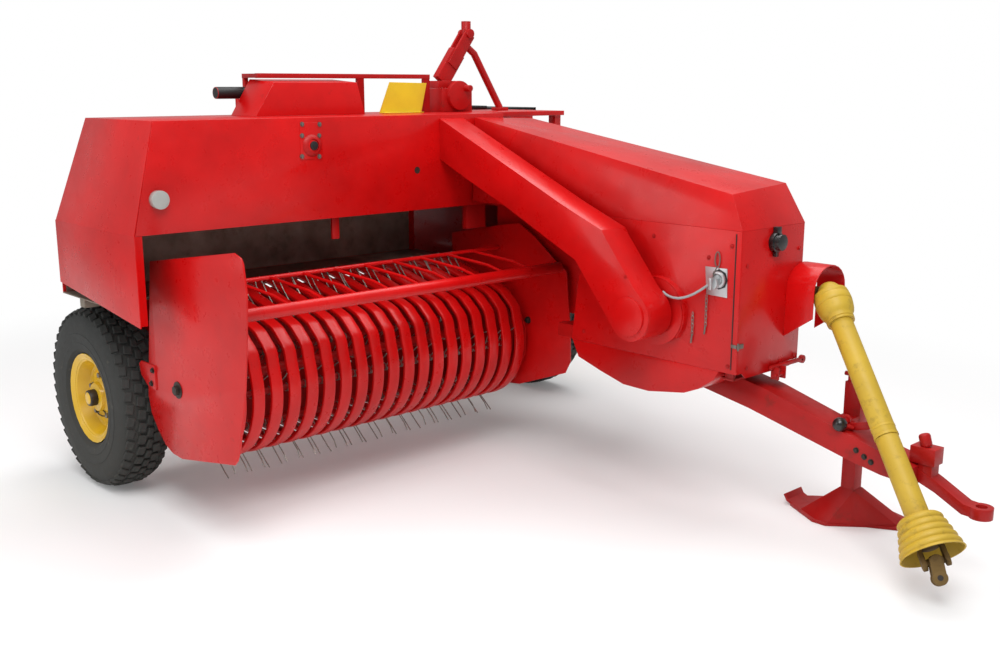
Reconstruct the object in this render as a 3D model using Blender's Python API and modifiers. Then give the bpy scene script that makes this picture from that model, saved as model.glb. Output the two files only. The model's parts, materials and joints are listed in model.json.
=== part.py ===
"""Square baler, towed, with a side pickup and a mechanical packer.

Run in Blender 4.5. Metres, +X forward, +Y left, +Z up. Every size below is
given in the machine's own frame, whose zero is the ground under the axle.
The whole machine hangs from one empty, which moves that zero to the middle
of the machine's footprint.
"""
import math

import bmesh
import bpy
from mathutils import Matrix, Vector

# Fits and stock thicknesses
GAP = 0.0003
SHEET = 0.004
WALL = 0.006

# Wheels and axle
TYRE_R = 0.350
TYRE_W = 0.196
RIM_R = 0.173
SEAT_R = 0.150
WHEEL_SIDES = 28
WHEEL_Y_RIGHT = -1.424
WHEEL_LEFT_OUT = 0.250
WHEEL_ROOM = 0.020
AXLE_Z = 0.350
AXLE_TUBE = 0.090
STUB_R = 0.022

# Bale chamber
BALE_W = 0.460
BALE_H = 0.360
CHAMBER_Y = 0.100
CHAMBER_Z = 0.660
CHAMBER_FRONT = 1.100
CHAMBER_RIM = 0.018
CHAMBER_REAR = -1.050
RAIL_REAR = -1.780
RAIL_TIE_REAR = 0.050
RAIL_TIE_FRONT = 0.120
TENSION_OFF = 0.050
FEED_FRONT = 0.560
FEED_REAR = -0.020
RAIL = 0.045

# Feed housing over the cross channel
PANEL_X = 0.597
PANEL_TOP = 1.400
PANEL_LOW = 1.030
HOUSING_BACK = -0.056
HOUSING_TOP_BACK = 0.071
HOUSING_END = -1.553
HOUSING_TOP_END = -1.464
HOUSING_LEFT = 0.0937
HOUSING_SKIRT_FRONT = 0.722
HOUSING_SKIRT_BACK = 0.799
FLOOR_Z = 0.760
FLOOR_FRONT = 0.255

# Front box with the drive in it
BOX_RIGHT = -0.087
BOX_LEFT = 0.283
BOX_FRONT = 1.940
BOX_REAR = 1.178
BOX_LOW = 0.560
SEAM_Z = 1.046
HOOD_INSET = 0.040
HOOD_BACK_Z = 1.386
HOOD_BACK_INSET = 0.014
HOOD_TILT = 0.020
HOOD_FRONT_Z = 1.160
HOOD_NOSE = 1.865

# Slanting drive guard on the right of the box
GUARD_NEAR = -0.253
GUARD_W = 0.125
HUB_X = 1.603
HUB_Z = 0.735
GUARD_END_R = 0.088
HUB_CAP_R = 0.068
HUB_CASE_R = 0.125

# Pickup
PIVOT_X = 0.120
PIVOT_Z = 0.500
PIVOT_TUBE_R = 0.028
REEL_X = 0.520
REEL_Z = 0.480
BAND_X = 0.555
BAND_Z = 0.475
BAND_R = 0.265
BAND_T = 0.013
BAND_W = 0.046
BAND_PITCH = 0.0725
BAND_COUNT = 19
BAND_FIRST_Y = -1.320
END_PLATE_Y = -1.308
TINE_WIRE = 0.0032
BAR_R = 0.205
BAR_WIRE = 0.012
SHIELD_Y = -1.440
CHEEK_Y = 0.061
GUARD_TUBE_X = 0.967
GUARD_TUBE_Z = 0.798
GUARD_TUBE_R = 0.0225
REAR_SHEET_R = 0.366
GUARD_ROD_X = 0.610
GUARD_ROD_Z = 0.841

# Drawbar, hitch and parking stand
DRAWBAR_PIVOT_X = 1.500
DRAWBAR_NEAR = 0.090
DRAWBAR_W = 0.116
DRAWBAR_REAR = 1.425
DRAWBAR_FRONT = 2.500
HITCH_REACH = 0.200
HITCH_Y = 0.148
STAND_SHARE = 0.7023
STAND_LIFT = 0.180
STAND_HUMP_Z = 0.135
STAND_Y = 0.290
STAND_TUBE = 0.050
STAND_SLEEVE_WALL = 0.006

# Drive shaft to the tractor
SOCKET_Y = 0.098
SOCKET_Z = 0.996
COWL_NEAR = 0.185
COWL_FAR = 0.385
COWL_TOP = 0.909
COWL_FRONT = 2.051
SHAFT_TOP = (2.070, 0.255, 0.815)
SHAFT_END = (2.7274, -0.1128, 0.0745)
SHAFT_BELL = 0.220
SHAFT_TUBE_R = 0.038
SHAFT_INNER_R = 0.033
SHAFT_BALL_R = 0.042
SHAFT_SEAM = 0.557

# Twine box, packer and rear
TWINE_BOX = ((-0.700, 0.620, 0.800), (-0.050, 0.900, 1.400))
CHUTE_LEN = 0.420
CHUTE_ROOM = 0.029


def finish(name, rgb, rough, metal=0.0):
    """Return a plain Principled material."""
    mat = bpy.data.materials.new(name)
    mat.use_nodes = True
    shader = mat.node_tree.nodes["Principled BSDF"]
    shader.inputs["Base Color"].default_value = (*rgb, 1.0)
    shader.inputs["Roughness"].default_value = rough
    shader.inputs["Metallic"].default_value = metal
    mat.diffuse_color = (*rgb, 1.0)
    return mat


def clear_scene():
    """Remove whatever the scene holds."""
    for obj in list(bpy.data.objects):
        bpy.data.objects.remove(obj, do_unlink=True)


def new_collection(name):
    """Make a collection in the scene."""
    group = bpy.data.collections.new(name)
    bpy.context.scene.collection.children.link(group)
    return group


def as_object(mesh):
    """Wrap a mesh in a working object of the shop collection."""
    obj = bpy.data.objects.new("blank", mesh)
    SHOP.objects.link(obj)
    return obj


def from_bmesh(bm):
    """Turn a bmesh into a working object."""
    mesh = bpy.data.meshes.new("blank")
    bm.to_mesh(mesh)
    bm.free()
    return as_object(mesh)


def settle(obj):
    """Return the evaluated mesh of an object, welded, and drop the object."""
    graph = bpy.context.evaluated_depsgraph_get()
    graph.update()
    mesh = bpy.data.meshes.new_from_object(obj.evaluated_get(graph))
    mesh.transform(obj.matrix_world)
    bpy.data.objects.remove(obj, do_unlink=True)
    bm = bmesh.new()
    bm.from_mesh(mesh)
    bmesh.ops.remove_doubles(bm, verts=bm.verts, dist=0.00001)
    bm.to_mesh(mesh)
    bm.free()
    return mesh


def block(low, high):
    """Box between two corners."""
    bm = bmesh.new()
    size = [b - a for a, b in zip(low, high)]
    centre = [(a + b) / 2 for a, b in zip(low, high)]
    bmesh.ops.create_cube(bm, size=1.0, matrix=Matrix.Translation(centre) @ Matrix.Diagonal((*size, 1.0)))
    return from_bmesh(bm)


def aim(start, end):
    """Matrix that carries local Z onto the way from start to end, centred between them."""
    start, end = Vector(start), Vector(end)
    turn = Vector((0, 0, 1)).rotation_difference(end - start).to_matrix().to_4x4()
    return Matrix.Translation((start + end) / 2) @ turn


def drum(start, end, radius, sides=16, far_radius=None):
    """Cylinder or cone between two points."""
    bm = bmesh.new()
    far = radius if far_radius is None else far_radius
    length = (Vector(end) - Vector(start)).length
    bmesh.ops.create_cone(bm, cap_ends=True, segments=sides, radius1=radius, radius2=far,
                          depth=length, matrix=aim(start, end))
    return from_bmesh(bm)


def bar(start, end, wide, deep, roll=0.0):
    """Square bar between two points, turned about its own length by roll."""
    bm = bmesh.new()
    length = (Vector(end) - Vector(start)).length
    spin = Matrix.Rotation(roll, 4, "Z")
    bmesh.ops.create_cube(bm, size=1.0, matrix=aim(start, end) @ spin @ Matrix.Diagonal((wide, deep, length,
                                                                                         1.0)))
    return from_bmesh(bm)


def ball(centre, radius, sides=16):
    """Sphere."""
    bm = bmesh.new()
    bmesh.ops.create_uvsphere(bm, u_segments=sides, v_segments=sides // 2, radius=radius,
                              matrix=Matrix.Translation(centre))
    return from_bmesh(bm)


FACING = {
    "x": Matrix(((0, 0, 1, 0), (1, 0, 0, 0), (0, 1, 0, 0), (0, 0, 0, 1))),
    "y": Matrix(((1, 0, 0, 0), (0, 0, -1, 0), (0, 1, 0, 0), (0, 0, 0, 1))),
    "z": Matrix.Identity(4),
}
STEP_OUT = {"x": Vector((1, 0, 0)), "y": Vector((0, 1, 0)), "z": Vector((0, 0, 1))}


def cutout(facing, outline, low, high, holes=()):
    """Flat outline across one axis, from low to high along it.

    The outline's two numbers are (y, z) across x, (x, z) across y and (x, y) across z.
    """
    curve = bpy.data.curves.new("outline", "CURVE")
    curve.dimensions = "2D"
    curve.fill_mode = "BOTH"
    curve.extrude = (high - low) / 2
    for loop in (outline, *holes):
        spline = curve.splines.new("POLY")
        spline.points.add(len(loop) - 1)
        for point, (a, b) in zip(spline.points, loop):
            point.co = (a, b, 0.0, 1.0)
        spline.use_cyclic_u = True
    obj = bpy.data.objects.new("outline", curve)
    SHOP.objects.link(obj)
    mesh = settle(obj)
    mesh.transform(Matrix.Translation(STEP_OUT[facing] * (low + high) / 2) @ FACING[facing])
    return as_object(mesh)


def tube(points, radius, resolution=2):
    """Round wire or tube along straight runs."""
    curve = bpy.data.curves.new("tube", "CURVE")
    curve.dimensions = "3D"
    curve.bevel_depth = radius
    curve.bevel_resolution = resolution
    curve.use_fill_caps = True
    spline = curve.splines.new("POLY")
    spline.points.add(len(points) - 1)
    for point, place in zip(spline.points, points):
        point.co = (*place, 1.0)
    obj = bpy.data.objects.new("tube", curve)
    SHOP.objects.link(obj)
    return as_object(settle(obj))


def turned(profile, start, end, steps=24):
    """Solid of revolution. The profile is (radius, height) from the start point up.

    It runs down the outer side, from the end of the axis to its start.
    """
    mesh = bpy.data.meshes.new("turned")
    count = len(profile)
    edges = [(i, i + 1) for i in range(count - 1)]
    if profile[0][0] > 0.0:
        edges.append((count - 1, 0))
    mesh.from_pydata([(r, 0.0, h) for r, h in profile], edges, [])
    obj = as_object(mesh)
    screw = obj.modifiers.new("turn", "SCREW")
    screw.steps = steps
    screw.render_steps = steps
    screw.use_merge_vertices = True
    screw.merge_threshold = 0.00005
    mesh = settle(obj)
    turn = Vector((0, 0, 1)).rotation_difference(Vector(end) - Vector(start)).to_matrix().to_4x4()
    mesh.transform(Matrix.Translation(start) @ turn)
    bm = bmesh.new()
    bm.from_mesh(mesh)
    bmesh.ops.recalc_face_normals(bm, faces=bm.faces)
    bm.to_mesh(mesh)
    bm.free()
    return as_object(mesh)


def ribbon(path, thick):
    """Closed outline of a bent strip: the path and its offset to the left of its way."""
    offset = []
    last = len(path) - 1
    for i, here in enumerate(path):
        here = Vector(here)
        before = (here - Vector(path[i - 1])).normalized() if i > 0 else None
        after = (Vector(path[i + 1]) - here).normalized() if i < last else None
        before = before or after
        after = after or before
        bend = (before + after).normalized()
        normal = Vector((-bend.y, bend.x))
        reach = thick / max(0.3, normal.dot(Vector((-after.y, after.x))))
        offset.append(tuple(here + normal * reach))
    return list(path) + offset[::-1]


def arc(centre, radius, start, end, count):
    """Points on an arc, angles in degrees."""
    angles = [math.radians(start + (end - start) * i / (count - 1)) for i in range(count)]
    return [(centre[0] + radius * math.cos(a), centre[1] + radius * math.sin(a)) for a in angles]


def join(base, others, how="UNION"):
    """Weld solids to a base, or cut them from it, and return one object."""
    for other in others:
        weld = base.modifiers.new("weld", "BOOLEAN")
        weld.operation = how
        weld.solver = "EXACT"
        weld.object = other
    mesh = settle(base)
    for other in others:
        bpy.data.objects.remove(other, do_unlink=True)
    return as_object(mesh)


def cut(base, others):
    """Cut solids from a base."""
    return join(base, others, "DIFFERENCE")


def part(name, pieces, mat, carrier, smooth=30.0):
    """Name a finished solid, dress it and hang it on its carrier.

    The carrier is an empty. A moving piece's carrier sits on its joint's axis.
    """
    solid = join(pieces[0], pieces[1:]) if len(pieces) > 1 else pieces[0]
    mesh = solid.data
    bpy.data.objects.remove(solid, do_unlink=True)
    mesh.name = name
    mesh.materials.clear()
    mesh.materials.append(mat)
    for face in mesh.polygons:
        face.use_smooth = True
    mesh.set_sharp_from_angle(angle=math.radians(smooth))
    obj = bpy.data.objects.new(name, mesh)
    MACHINE.objects.link(obj)
    mesh.transform(Matrix.Translation(-Vector(carrier["machine_place"])))
    obj.parent = carrier
    return obj


def carrier(name, place, parent=None):
    """Empty on a joint's axis, placed by the machine's own frame."""
    empty = bpy.data.objects.new(name, None)
    empty.empty_display_size = 0.1
    MACHINE.objects.link(empty)
    base = Vector(parent["machine_place"]) if parent else Vector(DATUM)
    empty.location = Vector(place) - base
    empty.parent = parent
    empty["machine_place"] = tuple(place)
    return empty


clear_scene()
MACHINE = new_collection("square_baler")
SHOP = new_collection("shop")

RED = finish("red enamel", (0.62, 0.012, 0.012), 0.28)
YELLOW = finish("yellow enamel", (0.80, 0.52, 0.03), 0.35)
RUBBER = finish("tyre rubber", (0.022, 0.022, 0.022), 0.85)
STEEL = finish("bare steel", (0.35, 0.33, 0.30), 0.45, 0.9)
WORN = finish("worn sheet", (0.16, 0.12, 0.09), 0.6, 0.5)
BLACK = finish("black paint", (0.015, 0.015, 0.015), 0.5)
PLASTIC = finish("yellow plastic", (0.58, 0.42, 0.09), 0.5)
CAST = finish("cast iron", (0.18, 0.13, 0.07), 0.6, 0.6)
LAMP = finish("reflector", (0.85, 0.85, 0.82), 0.2)
CABLE = finish("grey cable", (0.45, 0.47, 0.48), 0.5)

# Places that follow from the sizes above
HITCH_EYE_X = DRAWBAR_FRONT + HITCH_REACH
STAND_X = DRAWBAR_REAR + (DRAWBAR_FRONT - DRAWBAR_REAR) * STAND_SHARE

# The machine's middle on the ground, from its outermost pieces
HITCH_TIP = HITCH_EYE_X + 0.036
CHUTE_TIP = RAIL_REAR - 0.020 - CHUTE_LEN
DATUM_X = (HITCH_TIP + CHUTE_TIP) / 2
DATUM_Y = (HOUSING_END + TWINE_BOX[1][1]) / 2
DATUM = (DATUM_X, DATUM_Y, 0.0)

CHAMBER_LEFT = CHAMBER_Y + BALE_W
CHAMBER_TOP = CHAMBER_Z + BALE_H
CHAMBER_MID = CHAMBER_Y + BALE_W / 2

BODY = carrier("chassis", (0.0, 0.0, 0.0))


def chamber():
    """The bale chamber: two side walls, floor and roof, with the rails behind them."""
    wall_low = CHAMBER_Z - 0.050
    wall_high = CHAMBER_TOP + CHAMBER_RIM
    mouth = [(FEED_REAR, CHAMBER_Z + 0.085), (FEED_FRONT, CHAMBER_Z + 0.085),
             (FEED_FRONT, CHAMBER_TOP - 0.010), (FEED_REAR, CHAMBER_TOP - 0.010)]
    side = [(CHAMBER_REAR, wall_low), (CHAMBER_FRONT, wall_low), (CHAMBER_FRONT, wall_high),
            (CHAMBER_REAR, wall_high)]
    right = cutout("y", side, CHAMBER_Y - WALL, CHAMBER_Y, [mouth])
    ribs = [block((x, CHAMBER_Y - WALL - 0.030, wall_low + 0.004),
                  (x + 0.030, CHAMBER_Y - 0.002, wall_high - 0.004))
            for x in (-0.95, -0.55, -0.12)]
    part("chamber_right_wall", [right, *ribs], RED, BODY)
    left = cutout("y", side, CHAMBER_LEFT, CHAMBER_LEFT + WALL)
    ribs = [block((x, CHAMBER_LEFT + 0.002, wall_low + 0.004),
                  (x + 0.030, CHAMBER_LEFT + WALL + 0.030, wall_high - 0.004))
            for x in (-0.95, -0.55, 0.25, 0.75)]
    part("chamber_left_wall", [left, *ribs], RED, BODY)
    inner = (CHAMBER_Y + GAP, CHAMBER_LEFT - GAP)
    slots = [block((x, y - 0.016, CHAMBER_Z - 0.05), (x + 0.30, y + 0.016, CHAMBER_Z + 0.05))
             for x in (-0.62,) for y in (CHAMBER_MID - 0.115, CHAMBER_MID + 0.115)]
    floor = block((CHAMBER_REAR, inner[0], CHAMBER_Z - WALL), (CHAMBER_FRONT, inner[1], CHAMBER_Z))
    part("chamber_floor", [cut(floor, slots)], WORN, BODY)
    roof = block((CHAMBER_REAR, inner[0], CHAMBER_TOP), (CHAMBER_FRONT - 0.45, inner[1], CHAMBER_TOP + WALL))
    slots = [block((-0.62, y - 0.016, CHAMBER_TOP - 0.05), (-0.32, y + 0.016, CHAMBER_TOP + 0.05))
             for y in (CHAMBER_MID - 0.115, CHAMBER_MID + 0.115)]
    part("chamber_roof", [cut(roof, slots)], RED, BODY)


def rails():
    """Angle rails that carry on the chamber to the bale outlet, tied by two portal frames."""
    corners = [("lower", CHAMBER_Z - RAIL, 1), ("upper", CHAMBER_TOP, -1)]
    for level, z, way in corners:
        strips = []
        for y, out in ((CHAMBER_Y, -1), (CHAMBER_LEFT, 1)):
            y_in = y - out * 0.040
            low, high = sorted((y_in, y + out * RAIL))
            flat_z = z + (RAIL - WALL if way > 0 else 0.0)
            strips.append(block((RAIL_REAR, low, flat_z), (CHAMBER_REAR - GAP, high, flat_z + WALL)))
            low, high = sorted((y + out * 0.001, y + out * (0.001 + WALL)))
            strips.append(block((RAIL_REAR + 0.001, low, z - (0.0 if way > 0 else 0.040)),
                                (CHAMBER_REAR - 0.001 - GAP, high, z + (RAIL + 0.040 if way > 0 else RAIL))))
        for x in (RAIL_REAR + RAIL_TIE_REAR, CHAMBER_REAR - RAIL_TIE_FRONT):
            z_tie = z - 0.030 if way > 0 else z + 0.015
            strips.append(block((x, CHAMBER_Y - RAIL + 0.002, z_tie),
                                (x + 0.040, CHAMBER_LEFT + RAIL - 0.002, z_tie + 0.040)))
        if level == "lower":
            for y in (CHAMBER_Y - 0.042, CHAMBER_LEFT + 0.030 + GAP):
                strips.append(block((RAIL_REAR - 0.026, y, z + 0.010),
                                    (RAIL_REAR + 0.015, y + 0.0117, z + RAIL - 0.003)))
        part(f"outlet_rails_{level}", strips, RED, BODY)


def wheel(side, y, out):
    """A wheel on its axle: tyre and dished rim with the hub, turning about the axle."""
    axis = carrier(f"wheel_{side}_axis", (0.0, y, AXLE_Z), BODY)
    end = (0.0, y + out, AXLE_Z)
    half = TYRE_W / 2
    shape = [(SEAT_R, half - 0.028), (0.1736, half - 0.0252), (0.186, half - 0.010), (0.215, half - 0.002),
             (0.250, half), (0.285, half - 0.003), (0.315, half - 0.010), (0.334, half - 0.022),
             (TYRE_R - 0.003, half - 0.048), (TYRE_R, 0.0)]
    loop = shape + [(r, -h) for r, h in shape[-2::-1]]
    tyre = turned(loop, (0.0, y, AXLE_Z), end, WHEEL_SIDES)
    part(f"wheel_{side}_tyre", [tyre], RUBBER, axis, 40.0)
    seat = SEAT_R - GAP
    rim = [(0.0, 0.088), (0.022, 0.086), (0.030, 0.078), (0.031, 0.056), (0.054, 0.054), (0.058, 0.040),
           (0.112, 0.016), (0.127, 0.020), (0.143, 0.066), (RIM_R, 0.080), (RIM_R, 0.0735), (seat, 0.071),
           (seat, -0.071), (RIM_R, -0.0735), (RIM_R, -0.080), (0.138, -0.062), (0.134, 0.004), (0.110, 0.004),
           (0.050, 0.020), (0.044, -0.070), (STUB_R + 0.0008, -0.070), (STUB_R + 0.0008, 0.040), (0.0, 0.040)]
    part(f"wheel_{side}_rim", [turned(rim, (0.0, y, AXLE_Z), end, WHEEL_SIDES)], YELLOW, axis)


def axle():
    """Cross beam under the chamber with the wheel stubs and the posts it carries things on."""
    half = AXLE_TUBE / 2
    beam = block((-half, -1.296, AXLE_Z - half), (half, CHAMBER_LEFT + 0.080, AXLE_Z + half))
    under = CHAMBER_Z - 0.050 - GAP
    stubs = [drum((0.0, -1.290, AXLE_Z), (0.0, WHEEL_Y_RIGHT - 0.038, AXLE_Z), STUB_R, 20),
             drum((0.0, CHAMBER_LEFT + 0.075, AXLE_Z), (0.0, CHAMBER_LEFT + WHEEL_LEFT_OUT + 0.038, AXLE_Z),
                  STUB_R, 20)]
    saddles = [block((-0.100, y, AXLE_Z), (0.100, y + 0.040, under)) 
               for y in (CHAMBER_Y - 0.038, CHAMBER_LEFT - 0.002)]
    posts = [block((-0.040, y, AXLE_Z), (0.040, y + 0.040, FLOOR_Z - SHEET - GAP)) for y in (-1.290, -0.640)]
    ears = []
    for y in (-1.240, -0.020):
        ear = cutout("y", [(-0.042, 0.330), (0.120, 0.440), (0.165, 0.470), (0.165, 0.545), (0.085, 0.560),
                           (-0.042, 0.560)], y - 0.006, y + 0.006)
        bore = drum((PIVOT_X, y - 0.020, PIVOT_Z), (PIVOT_X, y + 0.020, PIVOT_Z), PIVOT_TUBE_R + GAP, 32)
        ears.append(cut(ear, [bore]))
    part("axle_beam", [beam, *stubs, *saddles, *posts, *ears], RED, BODY)


def feed_housing():
    """Sheet housing over the cross feed: floor, back, front panel, slanting end and roof."""
    low_y, high_y = HOUSING_END + SHEET + GAP, HOUSING_LEFT
    floor = block((HOUSING_BACK + SHEET + GAP, low_y, FLOOR_Z - SHEET), (FLOOR_FRONT, high_y, FLOOR_Z))
    stiffener = block((0.100, low_y, FLOOR_Z - 0.034), (0.140, high_y, FLOOR_Z - 0.002))
    half = TYRE_W / 2 + WHEEL_ROOM
    ends = [(0.0, WHEEL_Y_RIGHT + out * half, AXLE_Z) for out in (-1, 1)]
    arched = [cut(sheet, [drum(*ends, TYRE_R + WHEEL_ROOM, 32)]) for sheet in (floor, stiffener)]
    part("feed_floor", arched, WORN, BODY)
    lean = (HOUSING_TOP_END - HOUSING_END) / (PANEL_TOP - PANEL_LOW)
    back = block((HOUSING_BACK, low_y + 0.0015, FLOOR_Z - SHEET),
                 (HOUSING_BACK + SHEET, high_y, PANEL_LOW + 0.001))
    slope = bmesh.new()
    for x, z in ((HOUSING_BACK + 0.0005, PANEL_LOW - 0.001), (HOUSING_TOP_BACK, PANEL_TOP - SHEET - GAP)):
        for y in (low_y + 0.003 + lean * (z - PANEL_LOW), high_y - 0.0005):
            slope.verts.new((x, y, z))
            slope.verts.new((x + SHEET, y, z))
    bmesh.ops.convex_hull(slope, input=slope.verts)
    part("housing_back", [back, from_bmesh(slope)], RED, BODY)
    face = [(HOUSING_TOP_END + 0.003, PANEL_TOP), (HOUSING_END + SHEET + 0.0006, PANEL_LOW),
            (high_y, PANEL_LOW),
            (high_y, PANEL_TOP)]
    panel = cutout("x", face, PANEL_X - SHEET, PANEL_X)
    flange = block((PANEL_X - 0.030, HOUSING_END + 0.006, PANEL_LOW),
                   (PANEL_X - 0.001, high_y, PANEL_LOW + SHEET))
    boss = drum((PANEL_X - 0.002, -0.858, 1.299), (PANEL_X + 0.014, -0.858, 1.299), 0.022, 16)
    pad = block((PANEL_X - 0.002, -0.905, 1.252), (PANEL_X + 0.003, -0.811, 1.382))
    part("housing_front", [panel, flange, boss, pad], RED, BODY)
    skirt = cutout("y", [(HOUSING_BACK, HOUSING_SKIRT_BACK), (PANEL_X, HOUSING_SKIRT_FRONT),
                         (PANEL_X, PANEL_LOW),
                         (HOUSING_BACK, PANEL_LOW)], HOUSING_END, HOUSING_END + SHEET)
    slope = bmesh.new()
    corners = []
    for x, z in ((HOUSING_BACK + 0.001, PANEL_LOW - 0.003), (PANEL_X - SHEET - GAP, PANEL_LOW - 0.003),
                 (HOUSING_TOP_BACK, PANEL_TOP), (PANEL_X - SHEET - GAP, PANEL_TOP)):
        y = HOUSING_END + 0.0010 + lean * (z - PANEL_LOW)
        corners.extend([(x, y, z), (x, y + SHEET, z)])
    for corner in corners:
        slope.verts.new(corner)
    bmesh.ops.convex_hull(slope, input=slope.verts)
    frame = block((PANEL_X - 0.040, HOUSING_END + 0.001, HOUSING_SKIRT_FRONT + 0.006),
                  (PANEL_X - 0.0005, HOUSING_END + 0.028, PANEL_LOW - 0.0007))
    part("housing_end", [skirt, from_bmesh(slope), frame], RED, BODY)
    roof = block((HOUSING_TOP_BACK + 0.002, HOUSING_TOP_END + SHEET + 0.002, PANEL_TOP - SHEET),
                 (PANEL_X - SHEET - GAP, high_y, PANEL_TOP))
    part("housing_top", [roof], RED, BODY)
    lamp = drum((PANEL_X + GAP, -1.463, 1.146), (PANEL_X + 0.026, -1.463, 1.146), 0.031, 24)
    part("lamp", [lamp], LAMP, BODY)


def packer():
    """The packer on top of the housing: slide beam, crank case, swinging arm and guards."""
    top = PANEL_TOP
    bridge = [block((0.050, HOUSING_LEFT + GAP, top - 0.020), (0.460, 0.600, top))]
    for x in (0.070, 0.400):
        bridge.append(block((x, 0.560, CHAMBER_TOP + CHAMBER_RIM + GAP), (x + 0.040, 0.598, top - 0.010)))
        bridge.append(block((x, 0.0943, CHAMBER_TOP + CHAMBER_RIM + GAP), (x + 0.040, 0.130, top - 0.010)))
    part("packer_bridge", bridge, RED, BODY)
    guard = bmesh.new()
    for x, y, z in ((0.350, -0.933, top), (0.350, -0.435, top), (0.350, -0.849, 1.524),
                    (0.350, -0.470, 1.524),
                    (0.180, -0.941, top), (0.180, -0.435, top), (0.180, -0.853, 1.536),
                    (0.180, -0.470, 1.536)):
        guard.verts.new((x, y, z + GAP))
    bmesh.ops.convex_hull(guard, input=guard.verts)
    hollow = bmesh.new()
    for x, y, z in ((0.346, -0.922, top - 0.01), (0.346, -0.446, top - 0.01), (0.346, -0.846, 1.520),
                    (0.346, -0.476, 1.520), (0.170, -0.922, top - 0.01), (0.170, -0.446, top - 0.01),
                    (0.170, -0.846, 1.530), (0.170, -0.476, 1.530)):
        hollow.verts.new((x, y, z))
    bmesh.ops.convex_hull(hollow, input=hollow.verts)
    part("packer_guard", [cut(from_bmesh(guard), [from_bmesh(hollow)])], RED, BODY)
    plate = cutout("x", [(-0.328, top + GAP), (-0.107, top + GAP), (-0.077, 1.522), (-0.273, 1.526)], 0.300,
                   0.304)
    foot = block((0.302, -0.320, top + GAP), (0.330, -0.115, top + 0.004))
    part("packer_plate", [plate, foot], YELLOW, BODY)
    beam = block((0.240, -0.865, 1.5400), (0.262, -0.025, 1.558))
    feet = [block((0.242, y, top + GAP), (0.260, y + 0.030, 1.542)) for y in (-0.400, -0.055)]
    feet.append(block((0.142, -0.864, 1.5410), (0.261, -0.844, 1.557)))
    feet.append(block((0.143, -0.863, 1.480), (0.157, -0.845, 1.556)))
    roll = drum((0.150, -0.985, 1.485), (0.150, -0.776, 1.485), 0.022, 20)
    part("packer_beam", [beam, *feet, roll], BLACK, BODY)
    case = block((0.190, 0.020, top + GAP), (0.290, 0.190, 1.500))
    disc = drum((0.288, 0.105, 1.470), (0.312, 0.105, 1.470), 0.062, 24)
    pin = drum((0.305, 0.135, 1.500), (0.345, 0.135, 1.500), 0.014, 12)
    part("packer_crank", [case, disc, pin], RED, BODY)
    low, high = Vector((0.212, 0.070, 1.520)), Vector((0.212, 0.232, 1.735))
    web = bar(low.lerp(high, 0.04), low.lerp(high, 0.62), 0.034, 0.074)
    fork = [bar(low.lerp(high, 0.35) + Vector((o, 0.0, 0.0)), high + Vector((o, 0.0, 0.0)), 0.010, 0.056)
            for o in (-0.019, 0.019)]
    cross = drum((high.x - 0.034, high.y - 0.006, high.z), (high.x + 0.034, high.y - 0.006, high.z), 0.020,
                 14)
    knob = drum((high.x, high.y - 0.006, high.z - 0.002), (high.x, high.y - 0.006, 1.7885), 0.021, 16)
    foot = block((0.192, 0.030, 1.5003), (0.252, 0.130, 1.532))
    brace = tube([(0.212, 0.214, 1.690), (0.212, 0.272, 1.650), (0.212, 0.428, top + 0.0125)], 0.016, 2)
    pad = block((0.182, 0.405, top + GAP), (0.242, 0.455, top + 0.014))
    part("packer_arm", [web, *fork, cross, knob, foot, brace, pad], RED, BODY)


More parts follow.
